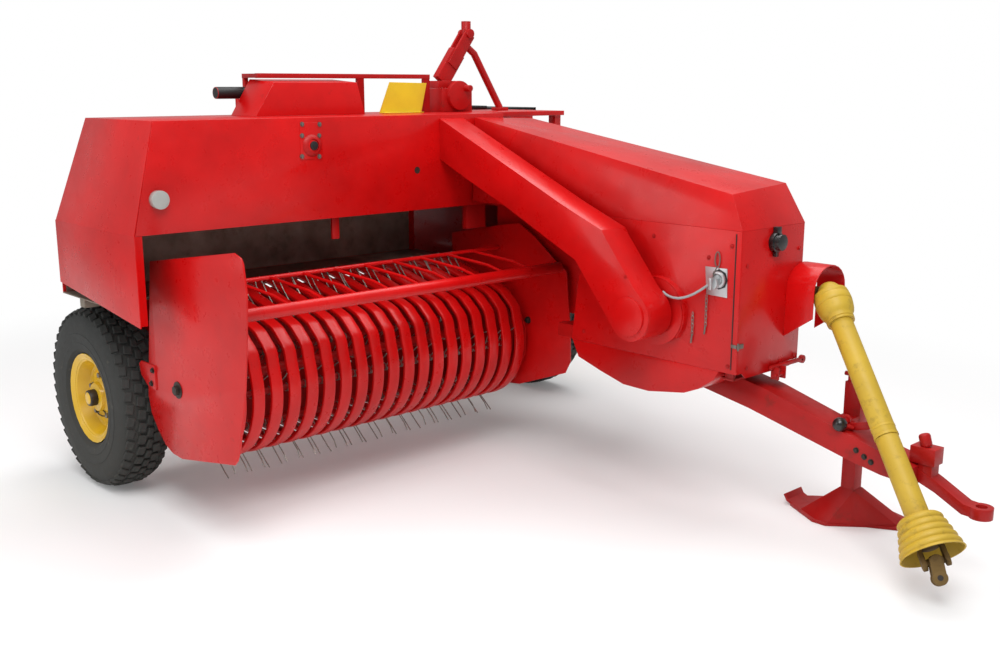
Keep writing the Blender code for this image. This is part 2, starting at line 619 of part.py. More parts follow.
def knotters():
    """Twine knotters on the chamber and the needle yoke under it."""
    z = CHAMBER_TOP + WALL + GAP
    base = [block((-0.640, CHAMBER_Y + 0.032, z), (-0.310, CHAMBER_Y + 0.062, z + 0.040)),
            block((-0.640, CHAMBER_LEFT - 0.066, z), (-0.310, CHAMBER_LEFT - 0.036, z + 0.040)),
            block((-0.500, CHAMBER_Y + 0.034, z + 0.005), (-0.440, CHAMBER_LEFT - 0.038, z + 0.035))]
    base += [block((-0.500, y, z + 0.005), (-0.440, y + 0.012, 1.235)) for y in (0.140, 0.505)]
    shaft = drum((-0.470, 0.134, 1.200), (-0.470, 0.530, 1.200), 0.018, 16)
    discs = [drum((-0.470, y, 1.200), (-0.470, y + 0.030, 1.200), 0.105, 20) for y in (0.205, 0.435)]
    heads = [block((-0.620, y, z + 0.005), (-0.400, y + 0.014, 1.190)) for y in (0.212, 0.442)]
    part("knotter_shaft", [base[0], *base[1:], shaft, *discs, *heads], CAST, BODY)
    shape = [(-0.680, 1.120), (-0.660, 1.330), (-0.500, 1.372), (-0.300, 1.330), (-0.270, 1.120)]
    inside = [(-0.677, 1.100), (-0.657, 1.3275), (-0.500, 1.3685), (-0.303, 1.3275), (-0.2725, 1.100)]
    hood = cut(cutout("y", shape, 0.118, 0.540), [cutout("y", inside, 0.121, 0.537)])
    legs = [block((x, y, z), (x + 0.030, y + 0.010, 1.150)) for x in (-0.676, -0.305) for y in (0.1195,
                                                                                                0.5285)]
    part("knotter_cover", [hood, *legs], RED, BODY)
    arms = []
    for y in (CHAMBER_Y - 0.070, CHAMBER_LEFT + 0.062):
        arms.append(cutout("y", [(-0.235, 0.640), (-0.175, 0.640), (-0.260, 0.430), (-0.340, 0.400),
                                 (-0.345, 0.430), (-0.290, 0.460)], y - 0.004, y + 0.004))
    link = drum((-0.320, CHAMBER_Y - 0.072, 0.424), (-0.320, CHAMBER_LEFT + 0.064, 0.424), 0.016, 12)
    needles = [tube([(-0.320, y, 0.424), (-0.400, y, 0.460), (-0.450, y, 0.520), (-0.468, y, 0.590)], 0.010,
                    1)
               for y in (CHAMBER_MID - 0.115, CHAMBER_MID + 0.115)]
    pins = [drum((-0.205, CHAMBER_Y - 0.075, 0.622), (-0.205, CHAMBER_Y - WALL - GAP, 0.622), 0.012, 12),
            drum((-0.205, CHAMBER_LEFT + WALL + GAP, 0.622), (-0.205, CHAMBER_LEFT + 0.067, 0.622), 0.012,
                 12)]
    part("needle_yoke", [arms[0], arms[1], link, *needles, *pins], RED, BODY)


def plunger():
    """Plunger in the chamber with its connecting rod to the drive."""
    low, high = CHAMBER_Y + 0.008, CHAMBER_LEFT - 0.008
    head = block((0.620, low, CHAMBER_Z + GAP), (0.960, high, CHAMBER_TOP - 0.008))
    rod = bar((0.950, 0.220, 0.850), (1.270, 0.160, 0.850), 0.050, 0.070)
    part("plunger", [head, rod], CAST, BODY)


def front_box():
    """Box ahead of the chamber: frame, side sheets, front, belly pan, gearbox and its outside pieces."""
    low, seam = BOX_LOW, SEAM_Z - GAP
    inner_right, inner_left = BOX_RIGHT + SHEET + GAP, BOX_LEFT - SHEET - GAP
    rails_z = (low + 0.002, low + 0.052)
    bars = [block((1.1003, inner_right, rails_z[0]), (BOX_FRONT - SHEET - GAP, inner_right + 0.040,
                                                      rails_z[1])),
            block((1.1003, inner_left - 0.040, rails_z[0]), (BOX_FRONT - SHEET - GAP, inner_left,
                                                             rails_z[1]))]
    for x in (1.110, 1.360, 1.560, 1.870):
        bars.append(block((x, inner_right + 0.002, rails_z[0] + 0.001),
                          (x + 0.050, inner_left - 0.002, rails_z[1] - 0.001)))
    bars.append(block((1.1003, inner_left - 0.041, low + 0.003), (1.160, CHAMBER_LEFT, rails_z[1] - 0.001)))
    clevis = [block((1.366, 0.060, 0.410), (1.386, 0.224, rails_z[0] + 0.002)),
              block((1.367, 0.061, 0.410), (1.570, 0.223, 0.424)),
              block((1.380, 0.061, 0.5455), (1.590, 0.223, rails_z[0] + 0.003)),
              drum((DRAWBAR_PIVOT_X, HITCH_Y, 0.405), (DRAWBAR_PIVOT_X, HITCH_Y, 0.5600), 0.0200, 20)]
    bow = [block((1.862, -0.060, 0.528), (1.912, 0.278, 0.536)),
           block((1.875, -0.058, 0.530), (1.909, -0.045, rails_z[0] + 0.003)),
           block((1.875, 0.262, 0.530), (1.909, 0.275, rails_z[0] + 0.003))]
    part("front_frame", [bars[0], *bars[1:], *clevis, *bow], RED, BODY)
    side = [(BOX_REAR, low), (BOX_REAR + 0.034, 0.813), (1.352, seam), (BOX_FRONT - 0.001, seam),
            (BOX_FRONT - 0.001, low)]
    sheet = cutout("y", side, BOX_RIGHT, BOX_RIGHT + SHEET)
    centre = (HUB_X + 0.004, HUB_Z)
    ring = arc(centre, HUB_CASE_R, -42, 222, 15) + arc(centre, HUB_CASE_R - 0.006, 222, -42, 15)
    case = cutout("y", ring, GUARD_NEAR + GUARD_W + 0.016, BOX_RIGHT + 0.001)
    part("box_right", [sheet, case], RED, BODY)
    left = cutout("y", [(BOX_REAR, low), (BOX_REAR, seam), (BOX_FRONT - 0.001, seam),
                        (BOX_FRONT - 0.001, low)],
                  BOX_LEFT - SHEET, BOX_LEFT)
    rest = block((0.620, BOX_LEFT - 0.004, CHAMBER_TOP + WALL + GAP), (BOX_REAR + 0.010, BOX_LEFT, seam))
    part("box_left", [left, rest], RED, BODY)
    front = cutout("x", [(BOX_RIGHT + SHEET + GAP, low), (BOX_RIGHT + SHEET + GAP, seam),
                         (BOX_LEFT - SHEET - GAP, seam),
                         (BOX_LEFT - SHEET - GAP, low), (0.180, low), (0.150, 0.5395), (-0.030, 0.5395),
                         (-0.055, low)],
                   BOX_FRONT - SHEET, BOX_FRONT)
    part("box_front", [front], RED, BODY)
    pan = [(BOX_REAR + 0.037, 0.497), (1.330, 0.462), (1.444, 0.432), (1.563, 0.430), (1.724, 0.456),
           (1.785, 0.482),
           (1.848, 0.526), (1.868, low - GAP)]
    strip = cutout("y", ribbon([(BOX_REAR + 0.006, low - 0.002), *pan[:-1], (1.867, low - 0.003)], 0.003),
                   BOX_RIGHT + 0.0005, 0.052)
    face = cutout("y", [(BOX_REAR + 0.0055, low - GAP), *pan], BOX_RIGHT, BOX_RIGHT + 0.003)
    part("belly_pan", [strip, face], RED, BODY)
    gearbox = block((1.290, -0.030, rails_z[1] + GAP), (1.760, 0.272, 0.960))
    neck = drum((1.750, 0.238, SHAFT_TOP[2]), (1.9355, 0.238, SHAFT_TOP[2]), 0.036, 24)
    part("gearbox", [gearbox, neck], CAST, BODY)
    near_y, far_y, low_z, high_z = COWL_NEAR, COWL_FAR, 0.640, COWL_TOP
    mid_y, half_y = (near_y + far_y) / 2, (far_y - near_y) / 2

    def arch(t):
        curve = [(mid_y - (half_y - t) * math.cos(math.radians(a)),
                  high_z - 0.085 + (0.085 - t) * math.sin(math.radians(a)))
                 for a in range(0, 181, 15)]
        return [(near_y + t, low_z), *curve, (far_y - t, low_z)]

    cowl = cutout("x", arch(0.0) + arch(0.004)[::-1], BOX_FRONT + GAP, COWL_FRONT)
    slant = cutout("y", [(1.80, 0.60), (1.93, 0.648), (COWL_FRONT + 0.10, 0.800),
                         (COWL_FRONT + 0.10, 0.60)], 0.0, 0.60)
    part("pto_cowl", [cut(cowl, [slant])], RED, BODY)
    y, z = SOCKET_Y, SOCKET_Z
    body = drum((BOX_FRONT + GAP, y, z), (BOX_FRONT + 0.018, y, z), 0.034, 20)
    rim = drum((BOX_FRONT + 0.016, y, z), (BOX_FRONT + 0.036, y, z), 0.028, 20)
    tab = block((BOX_FRONT + 0.002, y - 0.012, z + 0.028), (BOX_FRONT + 0.020, y + 0.012, z + 0.052))
    lug = block((BOX_FRONT + 0.003, y - 0.008, z - 0.050), (BOX_FRONT + 0.016, y + 0.008, z - 0.030))
    part("power_socket", [body, rim, tab, lug], BLACK, BODY)
    near = BOX_RIGHT - GAP
    far_y = GUARD_NEAR + GUARD_W
    plate = cutout("y", [(1.807, 0.821), (1.892, 0.819), (1.888, 0.917), (1.798, 0.916)], near - 0.003, near)
    knob = drum((1.849, near - 0.002, 0.866), (1.849, near - 0.030, 0.866), 0.020, 16)
    grip = block((1.843, near - 0.044, 0.846), (1.855, near - 0.028, 0.886))
    part("switch_plate", [plate, knob, grip], STEEL, BODY)
    hang = far_y + 0.0045 + GAP
    cable = tube([(1.646, hang, 0.812), (1.674, hang, 0.799), (1.711, hang + 0.0005, 0.797),
                  (1.754, hang + 0.005, 0.810),
                  (1.795, hang + 0.017, 0.836), (1.822, near - 0.003 - 0.0045 - GAP, 0.858)], 0.0045, 1)
    part("cable", [cable], CABLE, BODY)


def drive_guard():
    """Slanting guard over the drive down to the hub, with its raised cap."""
    end = arc((HUB_X, HUB_Z), GUARD_END_R, 45, -144, 15)
    x0 = PANEL_X + GAP
    outline = [(x0, 1.225), (x0, 1.385), (1.268, 1.100), (1.470, 1.022), (1.492, 0.992), (1.624, 0.835), *end,
               (1.346, 0.903), (1.168, 0.983), (0.954, 1.078), (0.758, 1.156)]
    inner_end = arc((HUB_X, HUB_Z), GUARD_END_R - 0.004, 45, -144, 15)
    inside = [(x0 + 0.004, 1.2275), (x0 + 0.004, 1.379), (1.266, 1.0965), (1.468, 1.018), (1.489, 0.990),
              (1.621, 0.833), *inner_end, (1.349, 0.906), (1.170, 0.987), (0.956, 1.082), (0.760, 1.160)]
    far = GUARD_NEAR + GUARD_W
    body = cut(cutout("y", outline, GUARD_NEAR, far), [cutout("y", inside, GUARD_NEAR + 0.003, far + 0.010)])
    cap = drum((HUB_X, GUARD_NEAR + 0.001, HUB_Z), (HUB_X, GUARD_NEAR - 0.009, HUB_Z), HUB_CAP_R, 24)
    stay = block((1.240, far - 0.060, 0.950), (1.280, BOX_RIGHT - GAP, 1.010))
    part("drive_guard", [body, cap, stay], RED, BODY)


def hood():
    """Lid over the front box, hinged along its left edge."""
    axis = carrier("hood_axis", (1.000, BOX_LEFT + 0.012, SEAM_Z + 0.004), BODY)
    low, x0 = SEAM_Z, PANEL_X + 0.008

    def hull(t):
        points = ((x0 + t, BOX_RIGHT + t, low - t), (x0 + t, BOX_LEFT - t, low - t),
                  (x0 + t, BOX_RIGHT + HOOD_BACK_INSET + t, HOOD_BACK_Z - t),
                  (x0 + t, BOX_LEFT - 0.030 - t, HOOD_BACK_Z - HOOD_TILT / 2 - t),
                  (HOOD_NOSE - t, BOX_RIGHT + HOOD_INSET + t, HOOD_FRONT_Z - t),
                  (HOOD_NOSE - t, BOX_LEFT - 0.018 - t, HOOD_FRONT_Z + HOOD_TILT - t),
                  (BOX_FRONT - t, BOX_RIGHT + t, low - t), (BOX_FRONT - t, BOX_LEFT - t, low - t))
        bm = bmesh.new()
        for point in points:
            bm.verts.new(point)
        bmesh.ops.convex_hull(bm, input=bm.verts)
        return from_bmesh(bm)

    shell = cut(hull(0.0), [hull(0.004)])
    hinge = [drum((x, BOX_LEFT + 0.012, SEAM_Z + 0.004), (x + 0.060, BOX_LEFT + 0.012, SEAM_Z + 0.004),
                  0.008, 12)
             for x in (0.760, 1.740)]
    straps = [block((x + 0.004, BOX_LEFT - 0.006, SEAM_Z + 0.002),
                    (x + 0.056, BOX_LEFT + 0.012, SEAM_Z + 0.010))
              for x in (0.760, 1.740)]
    part("hood_lid", [shell, *hinge, *straps], RED, axis)


def end_plate():
    """Outline of the pickup's end plates, inside the bands."""
    return [(0.076, 0.462), (0.076, 0.540), (0.150, 0.600), (0.264, 0.700), (0.276, 0.784), (0.400, 0.758),
            (0.580, 0.714), (0.690, 0.682),
            (0.750, 0.620), (0.800, 0.530), (0.800, 0.420), (0.740, 0.300), (0.650, 0.235), (0.555, 0.216),
            (0.300, 0.196), (0.215, 0.196)]


def pickup():
    """Pickup on its pivot: end plates, curved bands, side shields, wind guard, and the tined reel."""
    axis = carrier("pickup_axis", (PIVOT_X, -0.600, PIVOT_Z), BODY)
    inner_left = CHEEK_Y - 0.004 - GAP
    left_plate_y = 0.030
    lower = block((0.222, END_PLATE_Y, 0.198), (0.262, inner_left, 0.216))
    upper = block((0.272, END_PLATE_Y, 0.770), (0.304, inner_left, 0.786))
    pivot = drum((PIVOT_X, END_PLATE_Y - 0.002, PIVOT_Z), (PIVOT_X, left_plate_y + 0.004, PIVOT_Z),
                 PIVOT_TUBE_R, 32)
    plates = []
    for y in (END_PLATE_Y, left_plate_y):
        plate = cutout("y", end_plate(), y - 0.004, y + 0.004)
        bore = drum((REEL_X, y - 0.02, REEL_Z), (REEL_X, y + 0.02, REEL_Z), 0.0203, 32)
        plates.append(cut(plate, [bore]))
    curve = arc((BAND_X, BAND_Z), BAND_R, -92, 20, 13)
    path = [(0.230, 0.205), (0.420, 0.207), *curve, (0.790, 0.620), (0.748, 0.660), (0.700, 0.690),
            (0.560, 0.727),
            (0.400, 0.765), (0.290, 0.784)]
    bands = []
    for i in range(BAND_COUNT):
        y = BAND_FIRST_Y + i * BAND_PITCH
        run = [(0.400, 0.2068), *path[1:]] if i == 0 else path
        start = run[1:] if i == 0 else run
        side = y if i == 0 else y - BAND_W / 2
        bands.append(cutout("y", ribbon(start, BAND_T), side, y + BAND_W / 2))
    rear = [cutout("y", ribbon(arc((REEL_X, REEL_Z), REAR_SHEET_R, a0, a1, 7), 0.003), END_PLATE_Y + 0.002,
                   left_plate_y - 0.002) for a0, a1 in ((168, 136), (226, 192))]
    part("pickup_bands", [lower, upper, pivot, *rear, *plates, *bands], RED, axis, 25.0)
    right = [(0.463, 0.923), (1.038, 1.014), (1.078, 1.002), (1.090, 0.986), (1.104, 0.897), (1.092, 0.762),
             (1.066, 0.584), (1.016, 0.383), (0.995, 0.335), (0.974, 0.316), (0.614, 0.247), (0.545, 0.250),
             (0.491, 0.270), (0.440, 0.315), (0.397, 0.369), (0.381, 0.430)]
    shield = cutout("y", right, SHIELD_Y - 0.002, SHIELD_Y + 0.004)
    tail = cutout("y", [(0.455, 0.552), (0.352, 0.552), (0.336, 0.540), (0.346, 0.500), (0.400, 0.466),
                        (0.455, 0.462)],
                  SHIELD_Y - 0.008, SHIELD_Y - 0.001)
    spacers = [drum((x, SHIELD_Y + 0.002, z), (x, END_PLATE_Y - 0.004 - GAP, z), 0.016, 12)
               for x, z in ((0.600, 0.640), (0.600, 0.330))]
    part("pickup_shield", [shield, tail, *spacers], RED, axis)
    cheek = [(0.302, 0.875), (0.639, 0.941), (0.732, 0.955), (0.823, 0.908), (0.956, 0.814), (1.008, 0.784),
             (1.033, 0.533), (1.035, 0.418), (1.006, 0.365), (0.736, 0.266), (0.450, 0.235), (0.300, 0.400)]
    part("pickup_cheek", [cutout("y", cheek, CHEEK_Y - 0.004, CHEEK_Y + 0.002)], RED, axis)
    ends = (SHIELD_Y + 0.004 + GAP, CHEEK_Y - 0.004 - GAP)
    front = drum((GUARD_TUBE_X, ends[0], GUARD_TUBE_Z), (GUARD_TUBE_X, ends[1], GUARD_TUBE_Z), GUARD_TUBE_R,
                 20)
    rear = drum((GUARD_ROD_X, -1.290, GUARD_ROD_Z), (GUARD_ROD_X, ends[1], GUARD_ROD_Z), 0.008, 10)
    rods = [tube([(GUARD_TUBE_X, y + 0.008, 0.800), (GUARD_ROD_X + 0.250, y, 0.826),
                  (GUARD_ROD_X, y, GUARD_ROD_Z)], 0.006, 1)
            for y in (-1.200, -1.062, -0.924, -0.786, -0.648, -0.510, -0.372, -0.234, -0.096)]
    part("wind_guard", [front, rear, *rods], RED, axis)
    turn = carrier("reel_axis", (REEL_X, -0.600, REEL_Z), axis)
    shaft = drum((REEL_X, END_PLATE_Y - 0.012, REEL_Z), (REEL_X, left_plate_y + 0.012, REEL_Z), 0.020, 32)
    discs = [drum((REEL_X, y, REEL_Z), (REEL_X, y + 0.006, REEL_Z), 0.224, 20) for y in (-1.298, 0.012)]
    rows, tines = [], []
    for bar_angle, tip_angle, tip_r in REEL_ROWS:
        angle, tip = math.radians(bar_angle), math.radians(tip_angle)
        x, z = REEL_X + BAR_R * math.cos(angle), REEL_Z + BAR_R * math.sin(angle)
        tx, tz = REEL_X + tip_r * math.cos(tip), REEL_Z + tip_r * math.sin(tip)
        rows.append(drum((x, -1.296, z), (x, 0.016, z), BAR_WIRE, 10))
        for i in range(BAND_COUNT - 1):
            y = BAND_FIRST_Y + (i + 0.5) * BAND_PITCH
            lean = 0.006 if i % 2 else -0.006
            tines.append(tube([(x, y, z), (tx, y + lean, tz)], TINE_WIRE, 0))
    part("reel", [shaft, *discs, *rows, *tines], STEEL, turn, 60.0)


def drawbar():
    """Drawbar swinging on its pivot, with hitch and parking stand."""
    axis = carrier("drawbar_axis", (DRAWBAR_PIVOT_X, HITCH_Y, 0.480), BODY)
    low_y, high_y = DRAWBAR_NEAR, DRAWBAR_NEAR + DRAWBAR_W
    reach = DRAWBAR_FRONT - DRAWBAR_REAR
    side = [(DRAWBAR_REAR + reach * share, z) for share, z in
            ((0.0, 0.536), (0.3488, 0.508), (0.4791, 0.481), (0.7749, 0.392), (0.9191, 0.354), (1.0, 0.336),
             (1.0, 0.276), (0.8986, 0.283), (0.7953, 0.303), (0.4233, 0.397), (0.2326, 0.434), (0.0, 0.436))]
    beam = cutout("y", side, low_y, high_y)
    bore = drum((DRAWBAR_PIVOT_X, HITCH_Y, 0.35), (DRAWBAR_PIVOT_X, HITCH_Y, 0.62), 0.0210, 20)
    beam = cut(beam, [bore])
    outer = STAND_TUBE / 2 + GAP + STAND_SLEEVE_WALL
    sleeve = block((STAND_X - outer, STAND_Y - outer, STAND_HUMP_Z + STAND_LIFT + 0.007),
                   (STAND_X + outer, STAND_Y + outer, 0.520))
    well = block((STAND_X - outer + STAND_SLEEVE_WALL, STAND_Y - outer + STAND_SLEEVE_WALL, 0.20),
                 (STAND_X + outer - STAND_SLEEVE_WALL, STAND_Y + outer - STAND_SLEEVE_WALL, 0.60))
    bracket = [block((STAND_X - 0.030, high_y - 0.004, 0.345),
                     (STAND_X + 0.030, STAND_Y - outer + 0.003, 0.405))]
    part("drawbar", [beam, cut(sleeve, [well]), *bracket], RED, axis)
    front = DRAWBAR_FRONT
    arm = cutout("y", [(front + x, z) for x, z in
                       ((GAP, 0.284), (GAP, 0.328), (0.060, 0.300), (HITCH_REACH - 0.045, 0.250),
                        (HITCH_REACH, 0.246), (HITCH_REACH, 0.214), (HITCH_REACH - 0.050, 0.216),
                        (0.060, 0.262))], HITCH_Y - 0.028, HITCH_Y + 0.028)
    eye_x = front + HITCH_REACH
    eye = drum((eye_x, HITCH_Y, 0.212), (eye_x, HITCH_Y, 0.248), 0.036, 24)
    hole = drum((eye_x, HITCH_Y, 0.18), (eye_x, HITCH_Y, 0.28), 0.0180, 20)
    clamp = block((front - 0.030, HITCH_Y - 0.030, 0.3440), (front + 0.053, HITCH_Y + 0.028, 0.398))
    neck = block((front + 0.0006, HITCH_Y - 0.027, 0.300), (front + 0.045, HITCH_Y + 0.022, 0.345))
    pin = [drum((front + 0.015, HITCH_Y - 0.006, 0.390), (front, HITCH_Y - 0.006, 0.436), 0.012, 12)]
    part("hitch", [cut(join(arm, [eye]), [hole]), neck, clamp, *pin], RED, axis)
    slide = carrier("stand_axis", (STAND_X, STAND_Y, 0.300), axis)
    half = STAND_TUBE / 2
    leg = block((STAND_X - half, STAND_Y - half, 0.008), (STAND_X + half, STAND_Y + half, 0.556))
    grip = drum((STAND_X - 0.050, STAND_Y, 0.540), (STAND_X + 0.050, STAND_Y, 0.540), 0.008, 10)
    sole = cutout("z", [(STAND_X + x, STAND_Y + y) for x, y in
                        ((-0.235, -0.005), (-0.094, -0.085), (-0.040, -0.085), (0.064, 0.009), (0.175, 0.074),
                         (0.175, 0.160), (0.020, 0.210), (-0.134, 0.200), (-0.235, 0.110))], 0.0, 0.010)
    curl = [(STAND_X + x, z) for x, z in ((-0.230, 0.001), (-0.255, 0.012), (-0.268, 0.034))]
    lip = cutout("y", ribbon(curl, -0.009), STAND_Y, STAND_Y + 0.106)
    hump = bmesh.new()
    for x, y, z in ((-0.180, -0.028, 0.006), (-0.090, -0.078, 0.006), (-0.040, -0.078, 0.006),
                    (0.150, 0.080, 0.006),
                    (0.150, 0.140, 0.006), (-0.120, 0.170, 0.006), (-0.028, -0.026, STAND_HUMP_Z),
                    (0.028, -0.026, STAND_HUMP_Z), (0.028, 0.028, STAND_HUMP_Z),
                    (-0.028, 0.028, STAND_HUMP_Z)):
        hump.verts.new((STAND_X + x, STAND_Y + y, z))
    bmesh.ops.convex_hull(hump, input=hump.verts)
    part("parking_stand", [leg, sole, lip, from_bmesh(hump), grip], RED, slide)


def drive_shaft():
    """Telescopic drive shaft hanging from the gearbox to the ground."""
    top, end = Vector(SHAFT_TOP), Vector(SHAFT_END)
    top_x = SHAFT_TOP[0]
    way = (end - top).normalized()
    axis = carrier("shaft_axis", SHAFT_TOP, BODY)
    split = top + way * SHAFT_SEAM
    upper = drum(top + way * 0.045, split, SHAFT_TUBE_R, 24)
    bell = [(SHAFT_TUBE_R - 0.004, 0.122), (0.047, 0.122), (0.048, 0.098), (0.055, 0.088), (0.0605, 0.066),
            (0.063, 0.042), (0.061, 0.018), (0.056, 0.002), (0.050, 0.002), (0.050, 0.045),
            (SHAFT_TUBE_R - 0.004, 0.064)]
    shroud = turned(bell, top, top + way, 24)
    ring = drum(split - way * 0.030, split + way * 0.004, SHAFT_TUBE_R + 0.006, 24)
    well = drum(split - way * 0.300, split + way * 0.05, SHAFT_INNER_R + 0.0003, 24)
    joint = ball(top, SHAFT_BALL_R, 16)
    stem = drum(top, top + way * 0.060, 0.020, 16)
    part("shaft_upper", [cut(join(upper, [shroud, ring]), [well]), joint, stem], PLASTIC, axis)
    drive = drum((1.9403, *SHAFT_TOP[1:]), (1.980, *SHAFT_TOP[1:]), 0.030, 20)
    stub = drum((1.9405, *SHAFT_TOP[1:]), (top_x - SHAFT_BALL_R - GAP, *SHAFT_TOP[1:]), 0.019, 16)
    part("drive_stub", [drive, stub], CAST, BODY)
    cone_top = end - way * SHAFT_BELL
    inner = drum(split - way * 0.290, end - way * 0.150, SHAFT_INNER_R, 24)
    profile = [(0.060, 0.0)]
    for i in range(5):
        r = 0.069 + 0.0062 * i
        profile += [(r, 0.022 * i + 0.006), (r + 0.002, 0.022 * i + 0.017)]
    tip = 0.022 * 5 + 0.010
    profile += [(0.100, tip), (0.095, tip), (0.062, 0.020), (0.030, 0.020), (0.030, 0.0)]
    cone = turned(profile[::-1], cone_top, cone_top + way, 20)
    yoke_axis = end - way * 0.020
    side = way.cross(way.cross(Vector((0, 1, 0)))).normalized()
    yoke = [drum(end - way * 0.160, end - way * 0.085, 0.028, 16)]
    for o in (-0.034, 0.034):
        yoke.append(bar(end - way * 0.100 + side * o * 0.9, end - way * 0.024 + side * o, 0.016, 0.036))
        yoke.append(drum(yoke_axis + side * (o - 0.010), yoke_axis + side * (o + 0.010), 0.021, 16))
    yoke.append(drum(yoke_axis - side * 0.036, yoke_axis + side * 0.036, 0.012, 12))
    part("shaft_lower", [inner, cone, *yoke], PLASTIC, axis)


def rear_end():
    """Bale density screws over the outlet and the folding chute."""
    x = (RAIL_REAR + RAIL_TIE_REAR + CHAMBER_REAR - RAIL_TIE_FRONT) / 2 + TENSION_OFF
    low, high = CHAMBER_Z - 0.070, CHAMBER_TOP + 0.075
    cross = block((x - 0.020, CHAMBER_Y - 0.085, high + 0.005),
                  (x + 0.020, CHAMBER_LEFT + 0.085, high + 0.045))
    legs = [block((x - 0.018, y - 0.010, CHAMBER_TOP + WALL + GAP), (x + 0.018, y + 0.010, high + 0.010))
            for y in (CHAMBER_Y + 0.022, CHAMBER_LEFT - 0.022)]
    screws, springs = [], []
    for y in (CHAMBER_Y - 0.068, CHAMBER_LEFT + 0.068):
        screws.append(drum((x, y, low), (x, y, high + 0.330), 0.011, 12))
        springs.append(turned([(0.0, 0.150), *coil_profile(0.150, 5), (0.0, 0.0)], (x, y, high + 0.044),
                              (x, y, high + 1.0), 10))
        screws.append(bar((x - 0.070, y, high + 0.310), (x + 0.012, y, high + 0.310), 0.016, 0.016))
        screws.append(drum((x - 0.062, y, high + 0.300), (x - 0.062, y, high + 0.390), 0.011, 12))
    lower = block((x - 0.020, CHAMBER_Y - 0.085, low + 0.004),
                  (x + 0.020, CHAMBER_LEFT + 0.085, CHAMBER_Z - RAIL - GAP))
    part("bale_tension", [cross, *legs, *screws, *springs, lower], RED, BODY)
    hinge = (RAIL_REAR - 0.014, CHAMBER_MID, CHAMBER_Z - 0.020)
    axis = carrier("chute_axis", hinge, BODY)
    x0, x1 = hinge[0] + 0.002, hinge[0] - CHUTE_LEN - 0.006
    plate = block((x1, CHAMBER_Y - 0.054, CHAMBER_Z - 0.024), (x0 - CHUTE_ROOM, CHAMBER_LEFT + 0.054,
                                                               CHAMBER_Z - 0.020))
    sides = [block((x1, y, CHAMBER_Z - 0.025), (x0 - 0.006, y + 0.004, CHAMBER_Z + 0.070))
             for y in (CHAMBER_Y - 0.056, CHAMBER_LEFT + 0.052)]
    rod = drum((hinge[0], CHAMBER_Y - 0.030, hinge[2]), (hinge[0], CHAMBER_LEFT + 0.030, hinge[2]), 0.009, 12)
    tabs = [block((x0 - CHUTE_ROOM - 0.012, y, CHAMBER_Z - 0.027), (x0 - 0.001, y + 0.030, CHAMBER_Z - 0.013))
            for y in (CHAMBER_Y + 0.04, CHAMBER_LEFT - 0.07)]
    part("bale_chute", [plate, *sides, rod, *tabs], RED, axis)


def coil_profile(length, turns):
    """Ridged outer side of a spring, from its top down."""
    points = []
    for i in range(turns):
        h = length - (i + 0.5) * length / turns
        points.extend([(0.026, h + 0.006), (0.026, h - 0.006), (0.019, h - 0.0110)])
    return points


def twine_box():
    """Twine box left of the chamber with its hinged lid."""
    (x0, y0, z0), (x1, y1, z1) = TWINE_BOX
    outer = block((x0, y0, z0), (x1, y1, z1))
    inner = block((x0 + 0.004, y0 + 0.004, z0 + 0.004), (x1 - 0.004, y1 - 0.004, z1 + 0.1))
    brackets = [block((x, CHAMBER_LEFT + WALL + GAP, z0 + 0.040), (x + 0.050, y0 + 0.002, z0 + 0.070))
                for x in (x0 + 0.070, x1 - 0.120)]
    part("twine_box", [cut(outer, [inner]), *brackets], RED, BODY)
    axis = carrier("twine_lid_axis", ((x0 + x1) / 2, y0 - 0.010, z1 + 0.008), BODY)
    lid = block((x0 - 0.010, y0 - 0.006, z1 + GAP), (x1 + 0.010, y1 + 0.012, z1 + 0.004))
    rim = block((x0 - 0.010, y1 + 0.008, z1 - 0.020), (x1 + 0.010, y1 + 0.012, z1 + 0.002))
    rod = drum((x0 + 0.030, y0 - 0.010, z1 + 0.008), (x1 - 0.030, y0 - 0.010, z1 + 0.008), 0.007, 12)
    part("twine_lid", [lid, rim, rod], BLACK, axis)


REEL_ROWS = ((-95.0, -65.6, 0.355), (-5.0, 12.0, 0.290), (85.0, 109.0, 0.352), (175.0, 196.0, 0.350))

chamber()
rails()
wheel("right", WHEEL_Y_RIGHT, -1)
wheel("left", CHAMBER_LEFT + WHEEL_LEFT_OUT, 1)
axle()
feed_housing()
packer()
knotters()
plunger()
front_box()
drive_guard()
hood()
pickup()
drawbar()
drive_shaft()
rear_end()
twine_box()
for leftover in list(SHOP.objects):
    bpy.data.objects.remove(leftover, do_unlink=True)
bpy.context.scene.collection.children.unlink(SHOP)
bpy.data.collections.remove(SHOP)
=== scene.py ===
"""Looks of the square baler: enamel, rubber, worn sheet and wire, and the small fittings.

Places are written in the machine's own frame, counted from the ground under the axle, and at() turns them.
"""

import json
import logging
import math
from collections.abc import Iterable, Sequence
from dataclasses import dataclass, field
from enum import Enum
from typing import ClassVar

import bmesh
import bpy
from mathutils import Matrix, Vector

